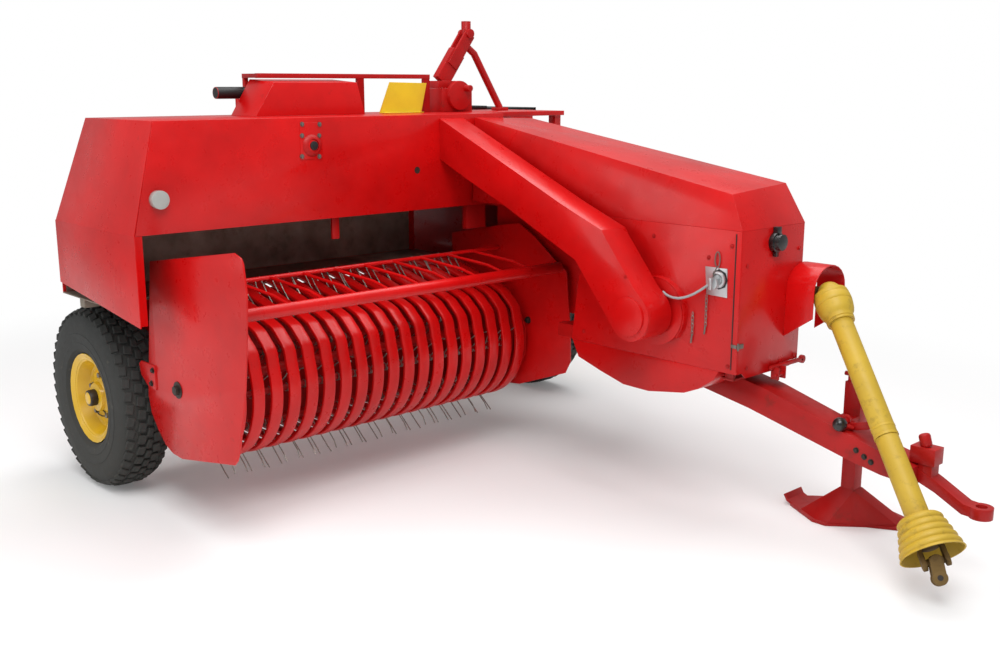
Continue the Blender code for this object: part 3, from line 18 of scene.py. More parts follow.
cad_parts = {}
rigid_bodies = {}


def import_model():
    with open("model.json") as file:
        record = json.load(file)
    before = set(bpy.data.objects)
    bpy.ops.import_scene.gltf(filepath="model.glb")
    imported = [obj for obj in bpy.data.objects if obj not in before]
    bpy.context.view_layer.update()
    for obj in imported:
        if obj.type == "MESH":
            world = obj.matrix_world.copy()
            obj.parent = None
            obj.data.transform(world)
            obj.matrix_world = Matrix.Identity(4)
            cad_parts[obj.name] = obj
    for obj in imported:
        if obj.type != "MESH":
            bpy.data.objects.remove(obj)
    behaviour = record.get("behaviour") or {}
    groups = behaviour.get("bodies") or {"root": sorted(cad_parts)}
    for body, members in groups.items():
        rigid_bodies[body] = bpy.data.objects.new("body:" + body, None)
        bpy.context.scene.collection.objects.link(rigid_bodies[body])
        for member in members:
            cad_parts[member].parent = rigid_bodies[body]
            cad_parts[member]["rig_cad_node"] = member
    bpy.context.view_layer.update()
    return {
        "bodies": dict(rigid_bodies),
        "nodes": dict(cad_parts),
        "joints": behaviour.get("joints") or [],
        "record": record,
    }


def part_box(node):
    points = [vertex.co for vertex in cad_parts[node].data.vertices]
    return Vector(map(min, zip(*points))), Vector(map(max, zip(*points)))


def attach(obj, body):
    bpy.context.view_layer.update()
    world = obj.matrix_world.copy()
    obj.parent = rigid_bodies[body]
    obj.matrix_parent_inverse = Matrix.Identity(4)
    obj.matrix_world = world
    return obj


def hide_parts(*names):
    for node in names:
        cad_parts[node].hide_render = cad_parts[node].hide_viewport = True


LOG = logging.getLogger("baler")
Place = tuple[float, float, float]
Profile = Sequence[tuple[float, float]]
BMesh, Tree, Socket = bmesh.types.BMesh, bpy.types.NodeTree, bpy.types.NodeSocket

MIDDLE = Vector((0.258, -0.3265, 0.0))
AHEAD, LEFT, NEAR, UP = Vector((1, 0, 0)), Vector((0, 1, 0)), Vector((0, -1, 0)), Vector((0, 0, 1))
MM_PER_M = 1000.0
# Points closer than this are one point.
WELD = 0.00002

# Noise levels between which the paint's two shades blend, and the sheen goes from its least to its most.
CLOUD_SPAN = (0.35, 0.68)
SHEEN_SPAN = (0.3, 0.7)
# Noise level at which dirt starts, how much its share lowers that, how soft its edge is and how much it covers.
DIRT_LEVEL, DIRT_BY_SHARE, DIRT_EDGE, DIRT_COVER = 0.66, 0.22, 0.22, 0.75
# Heights between which splashed dust fades out.
DUST_SPAN = (0.15, 0.75)
CHIP_LEVEL, CHIP_BY_SHARE, CHIP_EDGE = 0.8, 0.5, 0.025
GRAIN_DEEP = 0.001
WAVE_MM, WAVE_DEEP, WAVE_STRENGTH = MM_PER_M / 6.0, 0.01, 0.12
COAT_ROUGH = 0.08


def at(x: float, y: float, z: float) -> Vector:
    """Turn a place counted from the ground under the axle into the frame's place."""
    return Vector((x, y, z)) - MIDDLE


def srgb(code: str) -> tuple[float, float, float, float]:
    """Turn an sRGB hex value into a linear colour.

    Args:
        code: six hex digits.

    Returns:
        Linear red, green, blue and an alpha of one.
    """
    parts = [int(code[i:i + 2], 16) / 255 for i in (0, 2, 4)]
    lin = [c / 12.92 if c <= 0.04045 else ((c + 0.055) / 1.055) ** 2.4 for c in parts]
    return (lin[0], lin[1], lin[2], 1.0)


def add(tree: Tree, kind: str, settings: dict | None = None,
        links: dict | None = None) -> bpy.types.Node:
    """Add a node with its settings and links.

    Args:
        tree: the material's node tree.
        kind: the node's type name, without the ShaderNode prefix.
        settings: attributes by name, or socket values by "in:" and the socket's name or number.
        links: sockets to join, by input name or number.

    Returns:
        The new node.
    """
    node = tree.nodes.new("ShaderNode" + kind)
    for key, value in (settings or {}).items():
        if key.startswith("in:"):
            name = key[3:]
            node.inputs[int(name) if name.isdigit() else name].default_value = value
        elif key == "stops":
            ramp = node.color_ramp.elements
            while len(ramp) < len(value):
                ramp.new(0.5)
            for element, (place, colour) in zip(ramp, value):
                element.position = place
                element.color = colour
        else:
            setattr(node, key, value)
    for name, socket in (links or {}).items():
        tree.links.new(socket, node.inputs[name])
    return node


def noise(tree: Tree, place: Socket, size_mm: float, detail: float,
          roughness: float = 0.5) -> Socket:
    """Add a noise pattern.

    Args:
        tree: the material's node tree.
        place: the coordinates.
        size_mm: the size of its largest spots in millimetres.
        detail: how many finer layers it has.
        roughness: how strong the finer layers are.

    Returns:
        The pattern's level.
    """
    return add(tree, "TexNoise", {"in:Scale": MM_PER_M / size_mm, "in:Detail": detail, "in:Roughness": roughness},
               {"Vector": place}).outputs["Fac"]


def mapped(tree: Tree, value: Socket, source: tuple[float, float],
           target: tuple[float, float], kind: str = "LINEAR") -> Socket:
    """Add a node that takes one span of values to another.

    Args:
        tree: the material's node tree.
        value: the value.
        source: the span that it has.
        target: the span that it gets.
        kind: how the node goes between the two ends.

    Returns:
        The new value.
    """
    settings = {"interpolation_type": kind, "in:From Min": source[0], "in:From Max": source[1],
                "in:To Min": target[0], "in:To Max": target[1]}
    return add(tree, "MapRange", settings, {"Value": value}).outputs["Result"]


def ramp(tree: Tree, level: Socket, stops: list[tuple]) -> Socket:
    """Add a colour ramp with its stops, each a position and a colour, and return its colour."""
    return add(tree, "ValToRGB", {"stops": stops}, {"Fac": level}).outputs["Color"]


def painted(tree: Tree, under: Socket, over: str,
            share: Socket) -> Socket:
    """Cover a colour with a hex colour by a share, and return the mixed colour."""
    return add(tree, "Mix", {"data_type": "RGBA", "in:7": srgb(over)}, {"Factor": share, 6: under}).outputs[2]


class Slot(Enum):
    """The record's material slots."""

    RED = "red_enamel"
    YELLOW = "yellow_enamel"
    RUBBER = "tyre_rubber"
    STEEL = "bare_steel"
    SHEET = "worn_sheet"
    BLACK = "black_paint"
    PLASTIC = "yellow_plastic"
    CAST = "cast_iron"
    LENS = "reflector"
    CABLE = "grey_cable"


@dataclass(frozen=True)
class Finish:
    """A surface: what it is made of, how it was made and how it has worn.

    Colours are sRGB hex, lengths are millimetres of the real surface.
    """

    name: str
    slot: Slot
    colour: str
    shade: str
    dirt: str
    rough: float
    rough_spread: float = 0.1
    metal: float = 0.0
    coat: float = 0.0
    cloud_mm: float = 350.0
    dirt_mm: float = 60.0
    dirt_share: float = 0.25
    chips: str = ""
    chip_mm: float = 22.0
    chip_share: float = 0.05
    grain_mm: float = 4.0
    grain: float = 0.05
    low_dust: float = 0.0
    gloss: float = 0.5

    def build(self) -> bpy.types.Material:
        """Make the node material.

        Returns:
            The material, with its pattern on object coordinates.
        """
        mat = bpy.data.materials.new(self.name)
        mat.use_nodes = True
        tree = mat.node_tree
        shader = tree.nodes["Principled BSDF"]
        place = add(tree, "TexCoord").outputs["Object"]
        spots = noise(tree, place, self.dirt_mm, 8.0, 0.68)
        colour = self.soiled(tree, place, spots)
        if self.chips:
            colour = self.chipped(tree, place, colour)
        tree.links.new(colour, shader.inputs["Base Color"])
        sheen = mapped(tree, spots, SHEEN_SPAN, (self.rough, min(1.0, self.rough + self.rough_spread)))
        tree.links.new(sheen, shader.inputs["Roughness"])
        bump = add(tree, "Bump", {"in:Strength": self.grain, "in:Distance": GRAIN_DEEP},
                   {"Height": noise(tree, place, self.grain_mm, 3.0)})
        dent = add(tree, "Bump", {"in:Strength": WAVE_STRENGTH, "in:Distance": WAVE_DEEP},
                   {"Height": noise(tree, place, WAVE_MM, 1.0), "Normal": bump.outputs["Normal"]})
        tree.links.new(dent.outputs["Normal"], shader.inputs["Normal"])
        for name, value in (("Metallic", self.metal), ("Specular IOR Level", self.gloss),
                            ("Coat Weight", self.coat), ("Coat Roughness", COAT_ROUGH)):
            shader.inputs[name].default_value = value
        mat.diffuse_color = srgb(self.colour)
        return mat

    def soiled(self, tree: Tree, place: Socket,
               spots: Socket) -> Socket:
        """Blend the two shades and lay dirt spots and the dust of the lower parts over them.

        Args:
            tree: the material's node tree.
            place: the coordinates.
            spots: the level of the dirt's noise.

        Returns:
            The colour.
        """
        cloud = noise(tree, place, self.cloud_mm, 5.0, 0.6)
        blend = ramp(tree, cloud, [(CLOUD_SPAN[0], srgb(self.colour)), (CLOUD_SPAN[1], srgb(self.shade))])
        edge = DIRT_LEVEL - DIRT_BY_SHARE * self.dirt_share
        mask = ramp(tree, spots, [(edge, (0, 0, 0, 1)), (edge + DIRT_EDGE, (DIRT_COVER,) * 3 + (1,))])
        height = add(tree, "SeparateXYZ", {}, {"Vector": place})
        low = mapped(tree, height.outputs["Z"], DUST_SPAN, (self.low_dust, 0.0))
        dust = add(tree, "Math", {"operation": "MULTIPLY"}, {0: low, 1: spots})
        soil = add(tree, "Math", {"operation": "ADD", "use_clamp": True}, {0: mask, 1: dust.outputs["Value"]})
        return painted(tree, blend, self.dirt, soil.outputs["Value"])

    def chipped(self, tree: Tree, place: Socket,
                colour: Socket) -> Socket:
        """Break the paint open in sharp flakes.

        Args:
            tree: the material's node tree.
            place: the coordinates.
            colour: the paint's colour.

        Returns:
            The colour.
        """
        gate = CHIP_LEVEL - CHIP_BY_SHARE * self.chip_share
        flake = ramp(tree, noise(tree, place, self.chip_mm, 10.0, 0.74),
                     [(gate, (0, 0, 0, 1)), (gate + CHIP_EDGE, (1, 1, 1, 1))])
        return painted(tree, colour, self.chips, flake)


# Sprayed alkyd enamel over pressed sheet: glossy, faded in patches, chipped to primer at the wear marks.
RED = Finish("red alkyd enamel, sprayed", Slot.RED, "CC0C0D", "B2090A", "74120E", 0.24, 0.14, coat=0.1,
             gloss=0.3, dirt_share=0.06, chips="6E4A3C", chip_share=0.005, low_dust=0.08, grain_mm=3.0, grain=0.03)
# The same enamel on castings, bars and pressings low on the machine, duller and more chipped.
RED_WORN = Finish("red enamel, chipped on bar stock", Slot.RED, "B80C0D", "980B0B", "5A241A", 0.34, 0.22,
                  coat=0.05, gloss=0.3, dirt_share=0.4, chips="5A4638", chip_share=0.1, low_dust=0.25)
# Sprayed enamel on the pressed rims: satin, with brown dirt in the spots and few chips.
YELLOW = Finish("yellow enamel, sprayed", Slot.YELLOW, "E2B40C", "CCA00A", "86661C", 0.32, 0.15, coat=0.3,
                dirt_share=0.22, chips="6A4A22", chip_share=0.04, low_dust=0.2)
# The same enamel on the flat packer plate, faded by the sun to mustard.
MUSTARD = Finish("yellow enamel, sun faded", Slot.YELLOW, "DCBC0E", "C6A40C", "7A6420", 0.3, 0.15, coat=0.25,
                 dirt_share=0.14, chips="6A4A22", chip_share=0.02, low_dust=0.0)
# Moulded carbon black rubber: matt, with pale dust held in the grain.
RUBBER = Finish("tyre rubber, moulded", Slot.RUBBER, "2B2D2C", "202221", "5C5850", 0.72, 0.2, dirt_share=0.3,
                dirt_mm=30.0, grain_mm=2.0, grain=0.25, low_dust=0.35)
# Sprung tines rubbed bright by the crop, brown where dirt holds.
WIRE = Finish("spring steel wire, worn bright", Slot.STEEL, "A8A49C", "7C766E", "5A4430", 0.32, 0.2, metal=0.8,
              dirt_share=0.35)
# Turned and pressed fittings left bare, dulled by rust film.
STEEL = Finish("bare steel, turned", Slot.STEEL, "8A8680", "76726C", "58402C", 0.38, 0.2, metal=0.9, dirt_share=0.3)
# Rolled plate, pale and lightly dirty.
ALUMINIUM = Finish("aluminium plate, mill finish", Slot.STEEL, "C9CBCC", "B8BABC", "8C857A", 0.34, 0.2, metal=0.9,
                   dirt_share=0.25)
# Sheet polished and stained by the crop that slides over it.
WORN = Finish("sheet steel, crop worn", Slot.SHEET, "8A7F72", "5E5348", "3A3028", 0.5, 0.25, metal=0.2,
              dirt_share=0.6, dirt_mm=120.0, chips="8A3A2A", chip_mm=140.0, chip_share=0.25, cloud_mm=160.0)
# The back wall of the cross feed, scoured to a pale grey brown.
LINING = Finish("sheet steel, crop scoured", Slot.SHEET, "A3988A", "766B5E", "4A3E32", 0.46, 0.25, metal=0.2,
                dirt_share=0.5, dirt_mm=110.0, chips="8A3A2A", chip_mm=140.0, chip_share=0.12, cloud_mm=150.0)
# Brushed paint on lids, half matt; on the box's vertical seam the same black is painted shadow that stands in for
# the dark gap.
BLACK = Finish("black enamel, brushed, and painted seam shadow", Slot.BLACK, "1A1A1B", "121213", "3A352F", 0.42, 0.2, dirt_share=0.3)
# Moulded knobs and sockets, shiny under a little dust.
GLOSS_BLACK = Finish("phenolic, moulded", Slot.BLACK, "141415", "101011", "2A2826", 0.24, 0.15, coat=0.3,
                     dirt_share=0.15)
# The guards of the shaft: faded mustard, smeared with grease.
PLASTIC = Finish("polyethylene, blown, dirty", Slot.PLASTIC, "C8A62E", "B09026", "665426", 0.44, 0.2, dirt_share=0.5,
                 dirt_mm=45.0, grain=0.08)
# Rough castings with rust and dried grease.
CAST = Finish("cast iron, sand cast", Slot.CAST, "7A6030", "5A4526", "33261A", 0.6, 0.2, metal=0.35, dirt_share=0.5,
              grain_mm=2.5, grain=0.35)
# Bolt heads and hubs under old grease, near black; on the front panel's hole disc the same near black is painted
# shade.
GREASE_AND_HOLE_SHADE = Finish("grease and dirt, and painted hole shade", Slot.CAST, "2A211A", "1C1612", "4A3A2A", 0.38, 0.3, dirt_share=0.4, grain=0.3)
# A white reflector with a fine moulded pattern.
LENS = Finish("acrylic lens, moulded", Slot.LENS, "B4B6B2", "9A9C98", "6F6A62", 0.16, 0.1, coat=0.5, dirt_share=0.2,
              grain_mm=7.0, grain=0.5)
# The sheath of the lead, matt and grey.
CABLE = Finish("grey PVC sheath, extruded", Slot.CABLE, "A2A6A8", "94989A", "5C5A56", 0.5, 0.15, dirt_share=0.3)


@dataclass
class Workshop:
    """Makes pieces out of bmeshes and keeps the materials."""

    materials: dict[str, bpy.types.Material] = field(default_factory=dict)

    def dress(self, obj: bpy.types.Object, finish: Finish) -> None:
        """Give a piece its material, in place of any that it had.

        Args:
            obj: the piece.
            finish: its surface.
        """
        if finish.name not in self.materials:
            self.materials[finish.name] = finish.build()
        obj.data.materials.clear()
        obj.data.materials.append(self.materials[finish.name])

    def piece(self, name: str, bm: BMesh, finish: Finish, body: str, replaces: tuple[str, ...] = (),
              angle: float = 35.0) -> bpy.types.Object:
        """Turn a bmesh into a finished piece.

        Args:
            name: the piece's name.
            bm: its shape, with its place in it. It is freed.
            finish: its surface.
            body: the body that it rides on.
            replaces: nodes that it stands for.
            angle: edges sharper than this many degrees stay sharp.

        Returns:
            The new object.
        """
        mesh = bpy.data.meshes.new(name)
        bm.to_mesh(mesh)
        bm.free()
        mesh.shade_smooth()
        mesh.set_sharp_from_angle(angle=math.radians(angle))
        obj = bpy.data.objects.new(name, mesh)
        bpy.context.scene.collection.objects.link(obj)
        self.dress(obj, finish)
        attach(obj, body)
        if replaces:
            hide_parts(*replaces)
        LOG.info("%s: %d faces on %s", name, len(mesh.polygons), body)
        return obj


SHOP = Workshop()


def turned(way: Vector) -> Matrix:
    """The turn that takes the upward axis to a way."""
    return UP.rotation_difference(way).to_matrix().to_4x4()


def soften(bm: BMesh, edges: Iterable[bmesh.types.BMEdge], offset: float, segments: int = 2) -> None:
    """Round some edges.

    Args:
        bm: the shape.
        edges: its edges to round.
        offset: how far from each edge the rounding starts.
        segments: how many strips make it.
    """
    bmesh.ops.bevel(bm, geom=list(edges), affect="EDGES", offset=offset, segments=segments, profile=0.5,
                    material=-1, clamp_overlap=True)


def spun(profile: Profile, origin: Vector, axis: Vector, steps: int = 48) -> BMesh:
    """Spin a profile about an axis into a closed shape.

    Args:
        profile: radius and height pairs. It closes on itself unless it starts on the axis.
        origin: the point of height zero.
        axis: the way that heights run.
        steps: how many steps make a full turn.

    Returns:
        The shape.
    """
    bm = bmesh.new()
    verts = [bm.verts.new((r, 0.0, h)) for r, h in profile]
    edges = [bm.edges.new(pair) for pair in zip(verts, verts[1:])]
    if profile[0][0] > 0.0:
        edges.append(bm.edges.new((verts[-1], verts[0])))
    bmesh.ops.spin(bm, geom=verts + edges, cent=(0, 0, 0), axis=UP, angle=math.tau, steps=steps, use_merge=True)
    bmesh.ops.remove_doubles(bm, verts=bm.verts, dist=WELD)
    bmesh.ops.recalc_face_normals(bm, faces=bm.faces)
    bmesh.ops.transform(bm, matrix=Matrix.Translation(origin) @ turned(axis), verts=bm.verts)
    return bm


def merge(bm: BMesh, other: BMesh) -> None:
    """Put another shape into this one and free it.

    Args:
        bm: this shape.
        other: the other shape.
    """
    mesh = bpy.data.meshes.new("merge")
    other.to_mesh(mesh)
    other.free()
    bm.from_mesh(mesh)
    bpy.data.meshes.remove(mesh)


def loft(bm: BMesh, rings: list[list[bmesh.types.BMVert]]) -> None:
    """Join rings of points, one after another, into a closed shape.

    Args:
        bm: the shape that gets the faces.
        rings: its points, as many in each ring.
    """
    for one, two in zip(rings, rings[1:]):
        for i in range(len(one)):
            j = (i + 1) % len(one)
            bm.faces.new((one[i], one[j], two[j], two[i]))
    bm.faces.new(rings[0][::-1])
    bm.faces.new(rings[-1])


def add_drum(bm: BMesh, start: Vector, end: Vector, radius: float, sides: int = 16,
             bevel: float = 0.0) -> None:
    """Add a round bar between two points, with its rims rounded.

    Args:
        bm: the shape that gets the bar.
        start: the middle of one end.
        end: the middle of the other end.
        radius: its radius.
        sides: how many sides its section has.
        bevel: how far the rims are rounded.
    """
    made = bmesh.ops.create_cone(bm, cap_ends=True, segments=sides, radius1=radius, radius2=radius,
                                 depth=(end - start).length,
                                 matrix=Matrix.Translation((start + end) / 2) @ turned(end - start))
    if bevel:
        soften(bm, {e for v in made["verts"] for e in v.link_edges
                    if len(e.link_faces) == 2 and any(len(f.verts) > 4 for f in e.link_faces)}, bevel)


def add_box(bm: BMesh, low: Vector, high: Vector, bevel: float = 0.0) -> None:
    """Add a box.

    Args:
        bm: the shape that gets the box.
        low: its lowest corner.
        high: its highest corner.
        bevel: how far its edges are rounded.
    """
    matrix = Matrix.Translation((low + high) / 2) @ Matrix.Diagonal((*(high - low), 1.0))
    made = bmesh.ops.create_cube(bm, size=1.0, matrix=matrix)
    if bevel:
        soften(bm, {e for v in made["verts"] for e in v.link_edges}, bevel)


def add_bolt(bm: BMesh, place: Vector, way: Vector, size: float, height: float) -> None:
    """Add a hexagon head on its washer.

    Args:
        bm: the shape that gets the bolt.
        place: a point on the surface.
        way: the surface's outward normal.
        size: the head's width across its flats.
        height: how far the head stands out.
    """
    add_drum(bm, place - way * 0.002, place + way * 0.0016, size * 0.78, 16)
    add_drum(bm, place + way * 0.001, place + way * height, size * 0.577, 6, size * 0.05)


def wire(points: Sequence[Vector], radius: float, sides: int = 6) -> BMesh:
    """Sweep a round wire along points.

    Args:
        points: the middle line.
        radius: the wire's radius.
        sides: how many sides its section has.

    Returns:
        The closed shape, made by extruding a disc from point to point.
    """
    bm = bmesh.new()
    ways = [(b - a).normalized() for a, b in zip(points, points[1:])]
    bmesh.ops.create_circle(bm, cap_ends=True, segments=sides, radius=radius,
                            matrix=Matrix.Translation(points[0]) @ turned(ways[0]))
    bm.faces.ensure_lookup_table()
    tip = bm.faces[0]
    last = ways[0]
    for i in range(1, len(points)):
        grown = bmesh.ops.extrude_face_region(bm, geom=[tip])
        tip = next(g for g in grown["geom"] if isinstance(g, bmesh.types.BMFace))
        new = list(tip.verts)
        bmesh.ops.translate(bm, vec=points[i] - points[i - 1], verts=new)
        mean = (ways[i - 1] + ways[min(i, len(ways) - 1)]).normalized()
        bmesh.ops.rotate(bm, cent=points[i], matrix=last.rotation_difference(mean).to_matrix(), verts=new)
        last = mean
    bmesh.ops.recalc_face_normals(bm, faces=bm.faces)
    return bm


@dataclass(frozen=True)
class Slab:
    """A plate between two corners, its edges rounded by the bevel."""

    low: Place
    high: Place
    bevel: float = 0.0

    def add_to(self, bm: BMesh) -> None:
        """Add the plate to a shape."""
        add_box(bm, at(*self.low), at(*self.high), self.bevel)


@dataclass(frozen=True)
class Blade:
    """A flat bar that reaches from low to high about its middle, tilted in degrees about the cross axis."""

    middle: Place
    low: Place
    high: Place
    bevel: float
    tilt: float

    def add_to(self, bm: BMesh) -> None:
        """Add the bar, turned into its place.

        Args:
            bm: the shape that gets it.
        """
        bar = bmesh.new()
        add_box(bar, Vector(self.low), Vector(self.high), self.bevel)
        turn = Matrix.Rotation(math.radians(self.tilt), 4, "Y")
        bmesh.ops.transform(bar, matrix=Matrix.Translation(at(*self.middle)) @ turn, verts=bar.verts)
        merge(bm, bar)


@dataclass(frozen=True)
class Drum:
    """A round bar between two places."""

    start: Place
    end: Place
    radius: float
    sides: int = 16
    bevel: float = 0.0

    def add_to(self, bm: BMesh) -> None:
        """Add the bar to a shape."""
        add_drum(bm, at(*self.start), at(*self.end), self.radius, self.sides, self.bevel)


@dataclass(frozen=True)
class Bolts:
    """Hexagon heads of one size that stand out the same way."""

    way: Vector
    size: float
    height: float
    spots: tuple[Place, ...]

    def add_to(self, bm: BMesh) -> None:
        """Add the bolts to a shape."""
        for spot in self.spots:
            add_bolt(bm, at(*spot), self.way, self.size, self.height)


@dataclass(frozen=True)
class Ring:
    """A turned ring: radius and height pairs, and the way that its heights run."""

    origin: Place
    way: Vector
    steps: int
    profile: Profile

    def add_to(self, bm: BMesh) -> None:
        """Add the ring to a shape."""
        merge(bm, spun(self.profile, at(*self.origin), self.way, self.steps))


@dataclass(frozen=True)
class Ball:
    """A moulded ball."""

    middle: Place
    radius: float

    def add_to(self, bm: BMesh) -> None:
        """Add the ball to a shape."""
        bmesh.ops.create_uvsphere(bm, u_segments=28, v_segments=18, radius=self.radius,
                                  matrix=Matrix.Translation(at(*self.middle)))


@dataclass(frozen=True)
class Rod:
    """A bent round wire through places."""

    radius: float
    sides: int
    points: tuple[Place, ...]

    def add_to(self, bm: BMesh) -> None:
        """Add the wire to a shape."""
        merge(bm, wire([at(*point) for point in self.points], self.radius, self.sides))


@dataclass(frozen=True)
class Chain:
    """A short hanging chain, its links turned by turns, with its pin below."""

    x: float
    top: float
    bottom: float
    y: ClassVar[float] = -0.0955
    half_wide: ClassVar[float] = 0.0045
    half_tall: ClassVar[float] = 0.0085
    step: ClassVar[float] = 0.0135
    sag: ClassVar[float] = 0.007
    wire_r: ClassVar[float] = 0.0014

    def add_to(self, bm: BMesh) -> None:
        """Add the links and the pin.

        Args:
            bm: the shape that gets them.
        """
        z, flat = self.top, False
        while z > self.bottom:
            link = []
            for a in (math.tau * k / 8 for k in range(9)):
                wide = self.half_wide * math.cos(a)
                link.append(at(self.x + wide * flat, self.y + wide * (not flat),
                               z - self.sag + self.half_tall * math.sin(a)))
            merge(bm, wire(link, self.wire_r, 4))
            z -= self.step
            flat = not flat
        add_drum(bm, at(self.x, self.y, z + 0.004), at(self.x - 0.004, self.y, z - 0.028), 0.003, 8)


@dataclass(frozen=True)
class Trim:
    """A small piece made of plates, bars, bolts, rings and wires."""

    name: str
    finish: Finish
    parts: tuple[Slab | Blade | Drum | Bolts | Ring | Ball | Rod | Chain, ...]

    def build(self, body: str) -> None:
        """Put the parts together as one piece.

        Args:
            body: the body that it rides on.
        """
        bm = bmesh.new()
        for part in self.parts:
            part.add_to(bm)
        SHOP.piece(self.name, bm, self.finish, body)


@dataclass
class Skin:
    """A CAD node seen with its edges broken, as pressed, welded or cast metal has them."""

    node: str
    finish: Finish
    body: str
    round_m: float = 0.0012
    round_from: float = 28.0
    flat_within: float = 0.4
    smooth_below: float = 32.0

    def build(self) -> None:
        """Copy the node's solid, merge it, round its edges and let the copy stand for it."""
        bm = bmesh.new()
        bm.from_mesh(FRAME["nodes"][self.node].data)
        bmesh.ops.remove_doubles(bm, verts=bm.verts, dist=WELD)
        bmesh.ops.dissolve_limit(bm, angle_limit=math.radians(self.flat_within), verts=bm.verts, edges=bm.edges)
        soften(bm, (e for e in bm.edges if len(e.link_faces) == 2
                    and e.calc_face_angle(0.0) > math.radians(self.round_from)), self.round_m)
        SHOP.piece("skin_" + self.node, bm, self.finish, self.body, (self.node,), self.smooth_below)


@dataclass
class Wheel:
    """A wheel: block tread tyre, and the nuts, valve and cap on its rim."""

    side: str
    y: float
    # -1 where the wheel's outer face looks right, 1 where it looks left.
    out: int
    axle_z: float = 0.35
    width: float = 0.196
    blocks: int = 44
    block_size: tuple[float, float] = (0.036, 0.018)
    block_yaw: float = 12.0
    nuts: int = 5
    nut_ring: float = 0.083
    nut_seat: float = 0.0275
    nut_size: tuple[float, float] = (0.017, 0.014)
    nut_turn: float = 0.3
    cap_r: float = 0.0315
    cap_span: tuple[float, float] = (0.05, 0.0845)
    valve_at: Place = (0.0, 0.04, -0.062)
    valve_half: tuple[float, float] = (0.048, 0.014)
    block_bevel: float = 0.0032
    block_sunk: float = 0.0035
    # Radius of the tyre's side, and how far in from its widest it stands.
    side_shape: ClassVar[Profile] = (
        (0.1502, 0.028), (0.1736, 0.0252), (0.18, 0.016), (0.19, 0.007), (0.215, 0.002), (0.218, 0.0035),
        (0.25, 0.0008), (0.253, 0.003), (0.285, 0.004), (0.3, 0.008), (0.318, 0.016), (0.33, 0.027),
        (0.3375, 0.048))
    crown_r: float = 0.3395
    # Rings of tread blocks: place across the tyre, radius of their foot, width, shift round the tyre, lean.
    rows: ClassVar[tuple[tuple[float, float, float, float, float], ...]] = (
        (-0.068, 0.325, 0.03, 0.5, 26.0), (-0.03, 0.3365, 0.031, 0.0, 4.0), (0.0, 0.337, 0.024, 0.5, -6.0),
        (0.03, 0.3365, 0.031, 0.0, 4.0), (0.068, 0.325, 0.03, 0.5, -26.0))

    def build(self) -> None:
        """Build the tyre and the small fittings of the rim."""
        body = f"wheel_{self.side}"
        middle = at(0.0, self.y, self.axle_z)
        axis = LEFT * self.out
        shape = [(r, self.width / 2 - inset) for r, inset in self.side_shape]
        bm = spun([*shape, (self.crown_r, 0.0), *((r, -h) for r, h in shape[::-1])], middle, axis, 96)
        self.add_tread(bm, middle)
        SHOP.piece(f"tyre_{self.side}", bm, RUBBER, body, (f"wheel_{self.side}_tyre",), 30.0)
        fit = bmesh.new()
        for i in range(self.nuts):
            turn = math.tau * i / self.nuts + self.nut_turn
            spot = middle + axis * self.nut_seat + Vector((math.cos(turn), 0, math.sin(turn))) * self.nut_ring
            add_bolt(fit, spot, axis, *self.nut_size)
        SHOP.piece(f"wheel_nuts_{self.side}", fit, STEEL, body)
        cap = bmesh.new()
        add_drum(cap, middle + axis * self.cap_span[0], middle + axis * self.cap_span[1], self.cap_r, 24, 0.006)
        valve = middle + axis * self.valve_at[1] + UP * self.valve_at[2]
        merge(cap, wire([valve + Vector((self.valve_half[0] * math.cos(a), 0, self.valve_half[1] * math.sin(a)))
                         for a in (math.tau * k / 10 for k in range(11))], 0.0025))
        SHOP.piece(f"hub_cap_{self.side}", cap, GREASE_AND_HOLE_SHADE, body)

    def add_tread(self, bm: BMesh, middle: Vector) -> None:
        """Add three rings of rubber blocks and the shoulder blocks, each turned a little.

        Args:
            bm: the tyre.
            middle: its middle.
        """
        long, tall = self.block_size
        for offset, base, wide, shift, tilt in self.rows:
            lean = Matrix.Rotation(math.radians(tilt), 4, "X")
            yaw = Matrix.Rotation(math.radians(self.block_yaw if offset > 0 else -self.block_yaw), 4, "Z")
            for i in range(self.blocks):
                block = bmesh.new()
                bmesh.ops.create_cube(block, size=1.0, matrix=Matrix.Diagonal((long, wide, tall, 1.0)))
                soften(block, block.edges, self.block_bevel, 1)
                out = Matrix.Rotation(math.tau * (i + shift) / self.blocks, 4, "Y")
                foot = Matrix.Translation((0, offset, base + self.block_sunk))
                bmesh.ops.transform(block, matrix=Matrix.Translation(middle) @ out @ foot @ lean @ yaw,
                                    verts=block.verts)
                merge(bm, block)


